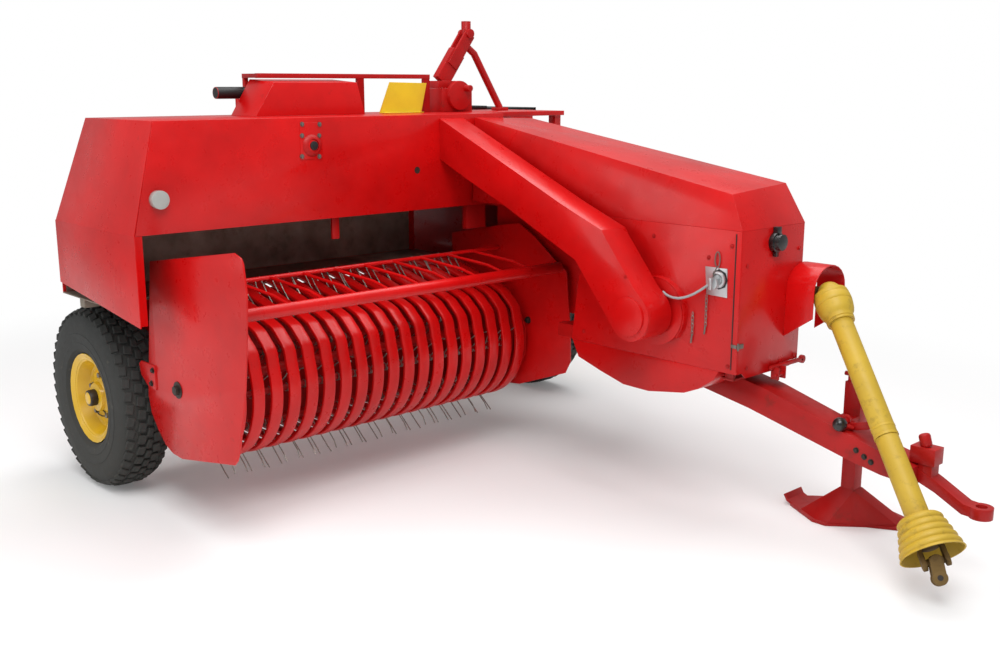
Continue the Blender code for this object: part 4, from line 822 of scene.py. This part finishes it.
@dataclass
class Stripper:
    """The pickup's stripper: crowned bands round the reel, end plates, tie bars and rear sheets."""

    count: int = 19
    pitch: float = 0.0725
    first: float = -1.32
    width: float = 0.046
    thick: float = 0.013
    reel: tuple[float, float] = (0.52, 0.48)
    shaft_hole: float = 0.0215
    plate_thick: float = 0.008
    plates: tuple[float, float] = (-1.308, 0.03)
    arc_middle: tuple[float, float] = (0.555, 0.475)
    arc_r: float = 0.265
    arc_start: float = -92.0
    arc_sweep: float = 112.0
    arc_steps: int = 36
    # The band's foot, before its arc, and the points that its upper run passes, after it.
    foot: ClassVar[Profile] = ((0.23, 0.205), (0.33, 0.2055), (0.43, 0.207))
    upper: ClassVar[Profile] = ((0.79, 0.62), (0.748, 0.66), (0.7, 0.69), (0.56, 0.727), (0.4, 0.765),
                                (0.29, 0.784), (0.23, 0.794))
    # Half of the crowned section: share of the half width, and depth.
    crown: ClassVar[Profile] = ((1.0, 0.004), (0.93, 0.0014), (0.78, 0.0002), (0.35, -0.001))
    outline: ClassVar[Profile] = (
        (0.076, 0.462), (0.076, 0.54), (0.15, 0.6), (0.264, 0.7), (0.276, 0.784), (0.4, 0.758),
        (0.58, 0.714), (0.69, 0.682), (0.75, 0.62), (0.8, 0.53), (0.8, 0.42), (0.74, 0.3),
        (0.65, 0.235), (0.555, 0.216), (0.3, 0.196), (0.215, 0.196))
    # Sheets behind the reel: start and end in degrees, near and far end across the machine.
    sheets: ClassVar[tuple[tuple[float, float, float, float], ...]] = (
        (168, 136, -1.306, 0.028), (226, 192, -1.306, 0.028), (192, 168, -1.226, -0.034))
    # The flat bars under and over the bands' ends, and the pivot tube behind them.
    ties: ClassVar[tuple[Slab | Drum, ...]] = (
        Slab((0.222, -1.308, 0.198), (0.262, 0.0567, 0.216), 0.002),
        Slab((0.272, -1.308, 0.768), (0.304, 0.0567, 0.784), 0.002),
        Drum((0.12, -1.31, 0.5), (0.12, 0.034, 0.5), 0.028, 40, 0.002))
    sheet_r: tuple[float, float] = (0.363, 0.366)
    sheet_steps: int = 12

    def path(self) -> list[Vector]:
        """Draw the outer line of a band.

        Returns:
            Its points, X and Z, from the lower end round the front to the upper end.
        """
        line = [Vector(spot) for spot in self.foot]
        for i in range(self.arc_steps + 1):
            t = math.radians(self.arc_start + self.arc_sweep * i / self.arc_steps)
            line.append(Vector((self.arc_middle[0] + self.arc_r * math.cos(t),
                                self.arc_middle[1] + self.arc_r * math.sin(t))))
        knots = [line[-2], line[-1], *(Vector(spot) for spot in self.upper)]
        for a, b, c, d in zip(knots, knots[1:], knots[2:], knots[3:]):
            for step in range(1, 6):
                t = step / 5
                line.append(0.5 * (2 * b + (c - a) * t + (2 * a - 5 * b + 4 * c - d) * t * t
                                   + (3 * b - a - 3 * c + d) * t ** 3))
        return line

    def band(self, middle: float, width: float, start: int) -> BMesh:
        """One pressed band with a crowned face.

        Args:
            middle: the band's middle across the machine.
            width: how wide it is.
            start: how many points of its lower end are left off.

        Returns:
            The closed band.
        """
        line = self.path()[start:]
        half = width / 2
        right = [(-half * share, depth) for share, depth in ((1.0, self.thick), *self.crown)]
        section = right + [(-y, depth) for y, depth in right[::-1]]
        bm = bmesh.new()
        rings = []
        for i, here in enumerate(line):
            along = (line[min(i + 1, len(line) - 1)] - line[max(i - 1, 0)]).normalized()
            spots = [(y, here + Vector((-along.y, along.x)) * depth) for y, depth in section]
            rings.append([bm.verts.new(at(spot.x, middle + y, spot.y)) for y, spot in spots])
        loft(bm, rings)
        return bm

    def sheet(self, start: float, end: float, near: float, far: float) -> BMesh:
        """A thin curved sheet behind the reel.

        Args:
            start: the angle of its first edge in degrees.
            end: the angle of its last edge.
            near: its right end across the machine.
            far: its left end.

        Returns:
            The closed sheet.
        """
        bm = bmesh.new()
        inner, outer = self.sheet_r
        rings = []
        for i in range(self.sheet_steps + 1):
            t = math.radians(start + (end - start) * i / self.sheet_steps)
            rings.append([bm.verts.new(at(self.reel[0] + r * math.cos(t), y, self.reel[1] + r * math.sin(t)))
                          for r, y in ((inner, near), (outer, near), (outer, far), (inner, far))])
        loft(bm, rings)
        return bm

    def plate(self, y: float) -> BMesh:
        """An end plate with the hole for the reel's shaft.

        Args:
            y: the plate's middle across the machine.

        Returns:
            The plate.
        """
        hole = [(self.reel[0] + self.shaft_hole * math.cos(a), self.reel[1] + self.shaft_hole * math.sin(a))
                for a in (math.tau * i / 24 for i in range(24))]
        bm = bmesh.new()
        for loop in (self.outline, hole):
            verts = [bm.verts.new(at(x, y - self.plate_thick / 2, z)) for x, z in loop]
            for one, two in zip(verts, verts[1:] + verts[:1]):
                bm.edges.new((one, two))
        bmesh.ops.triangle_fill(bm, edges=bm.edges, use_beauty=True)
        made = bmesh.ops.extrude_face_region(bm, geom=list(bm.faces))
        bmesh.ops.translate(bm, vec=LEFT * self.plate_thick,
                            verts=[v for v in made["geom"] if isinstance(v, bmesh.types.BMVert)])
        return bm

    def build(self) -> None:
        """Build the bands and the frame that carries them."""
        # The outermost band is a half one, cut short where it meets the end plate.
        bands = self.band(self.first + self.width / 4, self.width / 2, 2)
        for i in range(1, self.count):
            merge(bands, self.band(self.first + i * self.pitch, self.width, 0))
        SHOP.piece("stripper_bands", bands, RED, "pickup", ("pickup_bands",), 28.0)
        bm = bmesh.new()
        for tie in self.ties:
            tie.add_to(bm)
        for sheet in self.sheets:
            merge(bm, self.sheet(*sheet))
        for y in self.plates:
            merge(bm, self.plate(y))
        SHOP.piece("stripper_frame", bm, RED_WORN, "pickup")


@dataclass
class Reel:
    """The tined reel: shaft, end discs, tine bars and sprung double tines."""

    centre: Place = (0.52, 0.0, 0.48)
    shaft_r: float = 0.02
    disc_r: float = 0.223
    disc_thick: float = 0.006
    discs: tuple[float, float] = (-1.298, 0.012)
    bar_off: float = 0.205
    bar_r: float = 0.012
    first: float = -1.28375
    pitch: float = 0.0725
    gaps: int = 18
    shaft_span: tuple[float, float] = (-1.32, 0.042)
    bar_span: tuple[float, float] = (-1.296, 0.016)
    tine_r: float = 0.0022
    tine_bow: float = 0.012
    coil_r: float = 0.0145
    coil_wire_r: float = 0.0023
    coil_off: float = 0.0085
    coil_step: float = 0.0011
    coil_points: int = 11
    # Rows of tines: the bar's angle, the tips' angle and how far the tips reach from the shaft.
    rows: ClassVar[tuple[Place, ...]] = ((-95.0, -65.6, 0.355), (-5.0, 12.0, 0.29), (85.0, 109.0, 0.352),
                                         (175.0, 196.0, 0.35))

    def spot(self, angle: float, radius: float, y: float) -> Vector:
        """A point round the shaft.

        Args:
            angle: its angle in degrees, from ahead over the top.
            radius: how far it is from the shaft's middle.
            y: its place across the machine.

        Returns:
            The point in the frame.
        """
        turn = math.radians(angle)
        return at(self.centre[0] + radius * math.cos(turn), y, self.centre[2] + radius * math.sin(turn))

    def build(self) -> None:
        """Build the reel's painted parts and its wire."""
        bm = bmesh.new()
        add_drum(bm, *(self.spot(0, 0, y) for y in self.shaft_span), self.shaft_r, 24)
        for y in self.discs:
            add_drum(bm, self.spot(0, 0, y), self.spot(0, 0, y + self.disc_thick), self.disc_r, 48, 0.001)
        for bar, _tip, _reach in self.rows:
            add_drum(bm, *(self.spot(bar, self.bar_off, y) for y in self.bar_span), self.bar_r, 14)
        SHOP.piece("reel_frame", bm, RED_WORN, "reel")
        tines = bmesh.new()
        for row in self.rows:
            for i in range(self.gaps):
                for side in (-1, 1):
                    self.add_tine(tines, row, i, side)
        SHOP.piece("reel_tines", tines, WIRE, "reel", ("reel",))

    def add_tine(self, bm: BMesh, row: Place, i: int, side: int) -> None:
        """Add one of a pair of tines, swayed a little from use, and its coil round the bar.

        Args:
            bm: the shape that gets the wire.
            row: the row's angles and reach.
            i: the gap between two bands, counted from the right.
            side: -1 for the right tine of the pair, 1 for the left.
        """
        bar, tip, reach = row
        y = self.first + i * self.pitch
        sway = 0.011 * math.sin(i * 2.1 + side * 1.3) + 0.006 * math.sin(i * 5.3 + side)
        root = self.spot(bar, self.bar_off + 0.011, y + side * self.coil_off)
        end = self.spot(tip, reach - 0.002, y + side * 0.01 + 0.0012 * math.sin(i * 3.7 + side))
        off = LEFT.cross(end - root).normalized()
        # Shares of the way from root to tip, and how far the wire bows out there.
        bows = ((0.0, 0.009), (0.3, self.tine_bow + sway * 0.4), (0.6, self.tine_bow + sway), (0.84, 0.007 + sway),
                (0.99, sway * 0.5))
        merge(bm, wire([root.lerp(end, share) - off * bow for share, bow in bows], self.tine_r, 5))
        middle = self.spot(bar, self.bar_off, y + side * self.coil_off)
        merge(bm, wire([middle + Matrix.Rotation(math.tau * k / 7, 3, "Y") @ (AHEAD * self.coil_r)
                        + LEFT * (self.coil_step * k * side) for k in range(self.coil_points)], self.coil_wire_r, 4))


@dataclass
class DriveShaft:
    """The drive shaft's guard tubes, bells and the forks of its joints."""

    top: Place = (2.07, 0.255, 0.815)
    end: Place = (2.7274, -0.1128, 0.0745)
    seam: float = 0.557
    guard_r: float = 0.038
    guard_from: float = 0.06
    lower_under: float = 0.0008
    lower_from: float = 0.0045
    lower_to: float = 0.19
    cross_up: float = 0.08
    eye_down: float = 0.05
    droop: float = 0.55
    fork_way: Place = (0.91, 0.41, 0.0)
    bell: float = 0.22
    ball_r: float = 0.0415
    # Rings on the upper guard: start and end from the seam, and how far they stand out.
    rings: ClassVar[tuple[Place, ...]] = ((-0.034, -0.026, 0.001), (-0.006, 0.003, 0.0012))
    upper_bell: ClassVar[Profile] = (
        (0.034, 0.122), (0.0462, 0.1215), (0.0472, 0.115), (0.0448, 0.1125), (0.0472, 0.1098), (0.0476, 0.1),
        (0.05, 0.094), (0.0548, 0.088), (0.058, 0.078), (0.06, 0.066), (0.062, 0.054), (0.06, 0.0505),
        (0.0626, 0.047), (0.0628, 0.04), (0.062, 0.024), (0.0598, 0.0205), (0.0612, 0.017), (0.059, 0.005),
        (0.0558, 0.0022), (0.051, 0.0025), (0.052, 0.045), (0.034, 0.064))
    # The lower bell: its neck, one of its ribs, and its mouth with the wall inside.
    bell_neck: ClassVar[Profile] = ((0.03, 0.0), (0.06, 0.0), (0.064, 0.003))
    bell_rib: ClassVar[Profile] = ((-0.003, -0.0005), (0.0, 0.0022), (0.0014, 0.006), (0.0019, 0.0105),
                                   (0.0005, 0.014), (-0.0008, 0.0165))
    bell_mouth: ClassVar[Profile] = ((0.0985, 0.1165), (0.0998, 0.1195), (0.0952, 0.12), (0.064, 0.0215),
                                     (0.03, 0.0205))
    ribs: int = 5

    def along(self, distance: float) -> Vector:
        """A point on the middle line, counted from the upper joint."""
        return at(*self.top) + self.way * distance

    @property
    def way(self) -> Vector:
        """The way from the upper joint to the lower end."""
        return (at(*self.end) - at(*self.top)).normalized()

    @property
    def length(self) -> float:
        """The length from the upper joint to the lower end."""
        return (at(*self.end) - at(*self.top)).length

    def build(self) -> None:
        """Build the upper guard, the lower guard and the lower forks."""
        bm = bmesh.new()
        add_drum(bm, self.along(self.guard_from), self.along(self.seam), self.guard_r, 40, 0.002)
        for start, end, proud in self.rings:
            add_drum(bm, self.along(self.seam + start), self.along(self.seam + end), self.guard_r + proud, 40,
                     0.0004)
        merge(bm, spun(self.upper_bell, self.along(0.0), self.way, 48))
        bmesh.ops.create_uvsphere(bm, u_segments=32, v_segments=20, radius=self.ball_r,
                                  matrix=Matrix.Translation(self.along(0.0)))
        SHOP.piece("shaft_guard_upper", bm, PLASTIC, "shaft", ("shaft_upper",))
        low = bmesh.new()
        add_drum(low, self.along(self.seam + self.lower_from), self.along(self.length - self.lower_to),
                 self.guard_r - self.lower_under, 40, 0.001)
        line = list(self.bell_neck)
        for i in range(self.ribs):
            r, h = 0.069 + 0.0062 * i, 0.022 * i + 0.006
            line += [(r + out, h + up) for out, up in self.bell_rib]
        merge(low, spun([*line, *self.bell_mouth], self.along(self.length - self.bell), self.way, 56))
        SHOP.piece("shaft_guard_lower", low, PLASTIC, "shaft", ("shaft_lower",))
        self.forks()

    @staticmethod
    def lug(bm: BMesh, place: Vector, axes: tuple[Vector, Vector, Vector],
            half: tuple[float, float], ends: tuple[float, float]) -> None:
        """Add one flat cheek of a fork.

        Args:
            bm: the shape that gets it.
            place: where the cross goes through it.
            axes: its ways across, through and along.
            half: half its width and half its thickness.
            ends: its back and front along the fork.
        """
        cheek = bmesh.new()
        add_box(cheek, Vector((-half[0], -half[1], ends[0])), Vector((*half, ends[1])), 0.004)
        frame = Matrix(axes).transposed().to_4x4()
        bmesh.ops.transform(cheek, matrix=Matrix.Translation(place) @ frame, verts=cheek.verts)
        merge(bm, cheek)

    def forks(self) -> None:
        """Build the cast forks, the cross and the splined hub below the lower bell."""
        way = self.way
        side = Vector(self.fork_way)
        side = (side - way * side.dot(way)).normalized()
        other = way.cross(side).normalized()
        droop = (way - UP * self.droop).normalized()
        across = (side - droop * side.dot(droop)).normalized()
        toward = droop.cross(across).normalized()
        bm = bmesh.new()

        def bar(middle: Vector, axis: Vector, start: float, end: float, radius: float, sides: int,
                bevel: float = 0.0) -> None:
            """Add a bar that reaches from start to end along an axis through a middle."""
            add_drum(bm, middle + axis * start, middle + axis * end, radius, sides, bevel)

        bar(self.along(self.length), way, -0.2, -0.12, 0.029, 28, 0.003)
        cross = self.along(self.length - self.cross_up)
        eye = cross + droop * self.eye_down
        for o in (-1, 1):
            self.lug(bm, cross + side * o * 0.034, (other, side, way), (0.021, 0.007), (-0.044, 0.014))
            bar(cross, side * o, 0.027, 0.042, 0.0215, 28, 0.003)
            self.lug(bm, cross + toward * o * 0.025, (across, toward, droop), (0.02, 0.006), (-0.012, 0.048))
            bar(cross, toward * o, 0.0185, 0.0315, 0.02, 28, 0.003)
            bar(eye + toward * o * 0.025, toward, -0.0062, 0.0062, 0.0225, 28, 0.003)
        bar(cross, side, -0.032, 0.032, 0.0115, 16)
        bar(cross, toward, -0.03, 0.03, 0.0115, 16)
        bar(eye, toward, -0.024, 0.024, 0.0165, 24, 0.002)
        pin = bmesh.new()
        add_drum(pin, eye - toward * 0.032, eye + toward * 0.032, 0.0085, 20)
        SHOP.piece("shaft_pin", pin, GREASE_AND_HOLE_SHADE, "shaft")
        SHOP.piece("shaft_forks", bm, CAST, "shaft")


@dataclass
class Cable:
    """The grey lead from the drive guard to the switch plate."""

    radius: float = 0.0045
    route: ClassVar[tuple[Place, ...]] = (
        (1.646, -0.1232, 0.812), (1.66, -0.1232, 0.804), (1.676, -0.1232, 0.799), (1.694, -0.1232, 0.7972),
        (1.712, -0.1227, 0.7978), (1.732, -0.121, 0.802), (1.753, -0.118, 0.8098), (1.774, -0.1135, 0.8208),
        (1.794, -0.107, 0.835), (1.809, -0.1005, 0.8475), (1.822, -0.0951, 0.858))

    def build(self) -> None:
        route = [at(*place) for place in self.route]
        data = bpy.data.curves.new("switch_lead", "CURVE")
        data.dimensions = "3D"
        data.bevel_depth = self.radius
        data.bevel_resolution = 4
        data.use_fill_caps = True
        spline = data.splines.new("POLY")
        spline.points.add(len(route) - 1)
        for point, place in zip(spline.points, route):
            point.co = (*place, 1.0)
        obj = bpy.data.objects.new("switch_lead", data)
        bpy.context.scene.collection.objects.link(obj)
        SHOP.dress(obj, CABLE)
        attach(obj, "chassis")
        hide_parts("cable")
        length = sum((b - a).length for a, b in zip(route, route[1:]))
        LOG.info("switch_lead: %.3f m long", length)


@dataclass
class Lining:
    """The scoured back wall of the cross feed, seen through its mouth."""

    start: float = 0.0035
    thick: float = 0.0015
    top: float = 1.028

    def build(self) -> None:
        """Lay a thin sheet on the front of the housing's back, from the feed floor up."""
        low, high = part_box("housing_back")
        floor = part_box("feed_floor")[1].z
        bm = bmesh.new()
        add_box(bm, Vector((low.x + self.start, low.y + 0.012, floor + 0.001)),
                Vector((low.x + self.start + self.thick, high.y - 0.002, self.top)))
        SHOP.piece("feed_lining", bm, LINING, "chassis")


SWITCH = (1.858, -0.0905, 0.878)
LOOP = tuple((1.85 + 0.01 * math.cos(a), -0.0935, 0.945 + 0.026 * math.sin(a))
             for a in (math.tau * k / 16 - 1.2 for k in range(15)))
KNOB = (2.234, 0.092, 0.418)

# The small pieces by the body that they ride on.
TRIMS: dict[str, tuple[Trim, ...]] = {"chassis": (
    Trim("feed_posts", RED_WORN, (
        Slab((0.556, -0.101, 0.93), (0.584, 0.004, 1.029), 0.002),
        Slab((0.548, -0.752, 0.945), (0.56, -0.72, 1.029), 0.002))),
    Trim("twine_seal_side", BLACK, (Slab((-0.7, 0.616, 1.362), (-0.05, 0.6196, 1.3985)),)),
    Trim("twine_seal_end", BLACK, (Slab((-0.0494, 0.63, 1.362), (-0.0464, 0.896, 1.4005), 0.0008),)),
    # A thin black strip on the vertical seam between the box's side and its front: painted shadow that stands in for
    # the dark gap.
    Trim("box_seam_shadow_strip", BLACK, (Slab((1.916, -0.0886, 0.575), (1.92, -0.0866, 1.036)),)),
    Trim("box_foot", RED_WORN, (
        Slab((1.9404, 0.1, 0.548), (1.956, 0.3, 0.562), 0.004),
        Drum((1.9404, 0.3, 0.555), (1.956, 0.3, 0.555), 0.015, 24, 0.003),
        *(Slab((1.9404, y, 0.512), (1.974, y + 0.006, 0.556), 0.002) for y in (0.118, 0.158)),
        Drum((1.962, 0.112, 0.528), (1.962, 0.17, 0.528), 0.007, 16, 0.001))),
    Trim("hub_case_cover", RED, (
        Drum((1.603, -0.1118, 0.735), (1.603, -0.1085, 0.735), 0.1205, 64, 0.0008),)),
    Trim("beam_sleeve", BLACK, (
        Drum((0.15, -0.9862, 1.485), (0.15, -0.8, 1.485), 0.0226, 32, 0.005),)),
    # The bearing on the housing's front panel.
    Trim("bearing_bolts", STEEL, (Bolts(AHEAD, 0.011, 0.006, tuple((0.6, y, z) for y, z in (
        (-0.895, 1.377), (-0.821, 1.375), (-0.897, 1.337), (-0.824, 1.335), (-0.9, 1.263), (-0.826, 1.26)))),)),
    Trim("bearing_ring", RED_WORN, (Ring((0.597, -0.855, 1.3), AHEAD, 40, (
        (0.012, 0.0), (0.04, 0.0), (0.04, 0.004), (0.034, 0.01), (0.026, 0.014), (0.023, 0.014), (0.021, 0.006),
        (0.012, 0.006))),)),
    Trim("bearing_shaft_end", BLACK, (
        Drum((0.6, -0.855, 1.3), (0.616, -0.855, 1.3), 0.0165, 28, 0.002),
        Drum((0.61, -0.855, 1.3), (0.6175, -0.855, 1.3), 0.006, 16, 0.001))),
    # A near-black disc on the front panel that stands in for the dark inside of a hole: painted shade.
    Trim("panel_hole_shade_disc", GREASE_AND_HOLE_SHADE, (Drum((0.596, -0.369, 1.187), (0.5978, -0.369, 1.187), 0.0135, 24),)),
    # Bolts of the drive guard, the front box's side and its front.
    Trim("body_bolts", RED_WORN, (
        Bolts(NEAR, 0.009, 0.004, tuple((x, -0.253, z) for x, z in (
            (1.659, 0.719), (1.652, 0.748), (1.585, 0.872)))),
        Bolts(NEAR, 0.01, 0.004, tuple((x, -0.087, z) for x, z in (
            (1.569, 0.997), (1.902, 0.995), (1.809, 0.947), (1.905, 0.585), (1.24, 0.6)))),
        Bolts(AHEAD, 0.009, 0.004, tuple((1.94, y, z) for y, z in (
            (-0.053, 0.93), (-0.03, 0.575), (0.255, 0.575), (0.255, 0.96)))))),
    Trim("front_latch", STEEL, (
        Slab((1.915, -0.0905, 0.652), (1.939, -0.0872, 0.664), 0.001),
        Slab((1.9402, -0.085, 0.65), (1.944, -0.056, 0.666), 0.001),
        Drum((1.943, -0.087, 0.6455), (1.943, -0.087, 0.6705), 0.0035, 12, 0.001))),
    # The switch on its plate: flange, collar, plug with the lead, and the wire loop above.
    Trim("switch_flange", BLACK, (Ring(SWITCH, NEAR, 8, (
        (0.008, 0.0), (0.0345, 0.0), (0.0345, 0.0015), (0.03, 0.003), (0.008, 0.003))),)),
    Trim("switch_collar", ALUMINIUM, (Ring(SWITCH, NEAR, 32, (
        (0.008, 0.002), (0.027, 0.002), (0.0285, 0.006), (0.027, 0.011), (0.021, 0.0125), (0.019, 0.007),
        (0.008, 0.007))),)),
    Trim("switch_plug", CABLE, (
        Drum((1.822, -0.0951, 0.858), (1.866, -0.101, 0.89), 0.0085, 20, 0.003),
        Drum((1.858, -0.0965, 0.878), (1.858, -0.1005, 0.878), 0.0165, 24, 0.001))),
    Trim("switch_loop", STEEL, (Rod(0.0022, 6, LOOP), Rod(0.0022, 6, (
        (1.853, -0.096, 0.922), (1.842, -0.104, 0.896), (1.85, -0.106, 0.868), (1.864, -0.102, 0.858))))),
    # The chains that keep the pins below the switch plate.
    Trim("pin_chains", STEEL, (Chain(1.812, 0.819, 0.715), Chain(1.757, 0.752, 0.672))),
), "pickup": (
    # Bolts and the slotted nut on the outer shield, and the bolt on the inner cheek.
    Trim("pickup_bolts", GREASE_AND_HOLE_SHADE, (
        Bolts(NEAR, 0.014, 0.008, ((0.443, -1.448, 0.533), (0.428, -1.448, 0.483))),
        Bolts(NEAR, 0.03, 0.016, ((0.614, -1.442, 0.495),)),
        Drum((0.614, -1.443, 0.495), (0.614, -1.4445, 0.495), 0.03, 20),
        Bolts(NEAR, 0.02, 0.012, ((0.79, 0.057, 0.554),)))),
), "drawbar": (
    Trim("drawbar_knob", GLOSS_BLACK, (Ball(KNOB, 0.024),)),
    Trim("drawbar_lever", RED_WORN, (
        Rod(0.007, 10, (KNOB, (2.246, 0.112, 0.412), (2.262, 0.13, 0.404))),
        Blade((2.262, 0.136, 0.408), (-0.034, -0.0045, -0.013), (0.06, 0.0045, 0.013), 0.003, -16.0),
        Ring((2.232, 0.136, 0.427), LEFT, 28, (
            (0.0065, -0.0045), (0.015, -0.0045), (0.016, -0.003), (0.016, 0.003), (0.015, 0.0045),
            (0.0065, 0.0045))))),
    Trim("clamp_handle", RED_WORN, (
        Drum((2.513, 0.143, 0.396), (2.5, 0.142, 0.438), 0.0185, 24, 0.008),)),
    Trim("drawbar_bolts", GREASE_AND_HOLE_SHADE, (Bolts(NEAR, 0.013, 0.007, (
        (2.3, 0.09, 0.345), (2.33, 0.09, 0.33), (2.355, 0.09, 0.318))),)),
)}


@dataclass(frozen=True)
class Lamp:
    """A square soft lamp: where it stands, what it faces, its side in metres and its power in watts."""

    name: str
    place: Place
    goal: Place
    size: float
    power: float

    def build(self) -> None:
        """Hang the lamp."""
        data = bpy.data.lights.new(self.name, "AREA")
        data.size = self.size
        data.energy = self.power
        obj = bpy.data.objects.new(self.name, data)
        obj.location = self.place
        obj.rotation_euler = (Vector(self.goal) - Vector(self.place)).to_track_quat("-Z", "Y").to_euler()
        bpy.context.scene.collection.objects.link(obj)


@dataclass
class Studio:
    """Floor, lamps, world and camera."""

    eye: Place = (4.074, -3.143, 1.516)
    down: float = 12.524
    heading: float = 137.218
    lens: float = 40.266
    sensor: float = 36.0
    floor_half: float = 40.0
    floor_under: float = 0.0005
    world_light: float = 0.42
    # Distances from the middle between which the floor turns white, and how white it is near by.
    white_span: tuple[float, float] = (1.6, 3.9)
    white_near: float = 0.12
    lamps: ClassVar[tuple[Lamp, ...]] = (
        Lamp("key", (3.2, -2.2, 4.8), (0.5, -0.2, 0.5), 3.0, 200.0),
        Lamp("fill", (-1.5, -5.5, 2.6), (0.0, -0.5, 0.6), 3.0, 70.0),
        Lamp("top", (0.3, 1.2, 5.0), (0.3, 0.0, 0.6), 4.0, 150.0))

    def build(self) -> None:
        """Set up the studio and the photograph's view."""
        scene = bpy.context.scene
        scene.view_settings.view_transform = "Standard"
        self.floor()
        self.world()
        for lamp in self.lamps:
            lamp.build()
        data = bpy.data.cameras.new("camera")
        data.sensor_width = self.sensor
        data.lens = self.lens
        data.clip_end = 200.0
        camera = bpy.data.objects.new("camera", data)
        camera.location = at(*self.eye)
        camera.rotation_euler = (math.radians(90 - self.down), 0.0, math.radians(self.heading - 90))
        scene.collection.objects.link(camera)
        scene.camera = camera

    def floor(self) -> None:
        """Lay the floor just under the tyres."""
        bm = bmesh.new()
        bmesh.ops.create_grid(bm, x_segments=1, y_segments=1, size=self.floor_half,
                              matrix=Matrix.Translation((0, 0, -self.floor_under)))
        mesh = bpy.data.meshes.new("floor")
        bm.to_mesh(mesh)
        bm.free()
        floor = bpy.data.objects.new("floor", mesh)
        bpy.context.scene.collection.objects.link(floor)
        floor.data.materials.append(self.floor_material())

    def world(self) -> None:
        """Make the background white to the camera and dimmer to the part."""
        world = bpy.data.worlds.new("studio")
        bpy.context.scene.world = world
        world.use_nodes = True
        tree = world.node_tree
        back = tree.nodes["Background"]
        back.inputs["Color"].default_value = (1.0, 1.0, 1.0, 1.0)
        seen = add(tree, "LightPath").outputs["Is Camera Ray"]
        tree.links.new(mapped(tree, seen, (0.0, 1.0), (self.world_light, 1.0)), back.inputs["Strength"])

    def floor_material(self) -> bpy.types.Material:
        """Make white paper that keeps the shadow and turns plain white far away.

        Returns:
            The material.
        """
        mat = bpy.data.materials.new("white paper sweep")
        mat.use_nodes = True
        tree = mat.node_tree
        shader = tree.nodes["Principled BSDF"]
        shader.inputs["Base Color"].default_value = srgb("F4F4F4")
        shader.inputs["Roughness"].default_value = 0.9
        shader.inputs["Specular IOR Level"].default_value = 0.0
        place = add(tree, "TexCoord").outputs["Object"]
        reach = add(tree, "VectorMath", {"operation": "LENGTH"}, {0: place})
        far = mapped(tree, reach.outputs["Value"], self.white_span, (self.white_near, 1.0), "SMOOTHSTEP")
        seen = add(tree, "LightPath").outputs["Is Camera Ray"]
        share = add(tree, "Math", {"operation": "MULTIPLY"}, {0: far, 1: seen})
        white = add(tree, "Emission", {"in:Color": (1.0, 1.0, 1.0, 1.0), "in:Strength": 1.0})
        blend = add(tree, "MixShader", {}, {0: share.outputs["Value"], 1: shader.outputs["BSDF"],
                                            2: white.outputs["Emission"]})
        tree.links.new(blend.outputs["Shader"], tree.nodes["Material Output"].inputs["Surface"])
        return mat


# The nodes that are shown by their own shape with rounded edges, by finish.
FINISHES: dict[Finish, tuple[str, ...]] = {
    RED: ("chamber_right_wall", "chamber_left_wall", "chamber_roof", "housing_back", "housing_front", "housing_end",
          "housing_top", "packer_bridge", "packer_guard", "knotter_cover", "box_right", "box_left", "box_front",
          "belly_pan", "pto_cowl", "drive_guard", "hood_lid", "pickup_shield", "pickup_cheek", "wind_guard",
          "twine_box"),
    RED_WORN: ("outlet_rails_lower", "outlet_rails_upper", "bale_tension", "bale_chute", "axle_beam", "packer_crank",
               "packer_arm", "packer_beam", "needle_yoke", "front_frame", "drawbar", "hitch", "parking_stand"),
    YELLOW: ("wheel_right_rim", "wheel_left_rim"),
    MUSTARD: ("packer_plate",),
    WORN: ("chamber_floor", "feed_floor"),
    BLACK: ("twine_lid",),
    GLOSS_BLACK: ("power_socket",),
    CAST: ("knotter_shaft", "plunger", "gearbox", "drive_stub"),
    LENS: ("lamp",),
    ALUMINIUM: ("switch_plate",),
}

FRAME: dict = {}


def main() -> None:
    """Load the frame, dress every node and add the fittings."""
    logging.basicConfig(level=logging.INFO)
    FRAME.update(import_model())
    Studio().build()
    Cable().build()
    body_of = {node: body for body, nodes in FRAME["record"]["behaviour"]["bodies"].items() for node in nodes}
    for finish, nodes in FINISHES.items():
        for node in nodes:
            Skin(node, finish, body_of[node]).build()
    for item in (Wheel("right", -1.424, -1), Wheel("left", 0.81, 1), Stripper(), Reel(), DriveShaft(), Lining()):
        item.build()
    for body, trims in TRIMS.items():
        for trim in trims:
            trim.build(body)


if __name__ == "__main__":
    main()
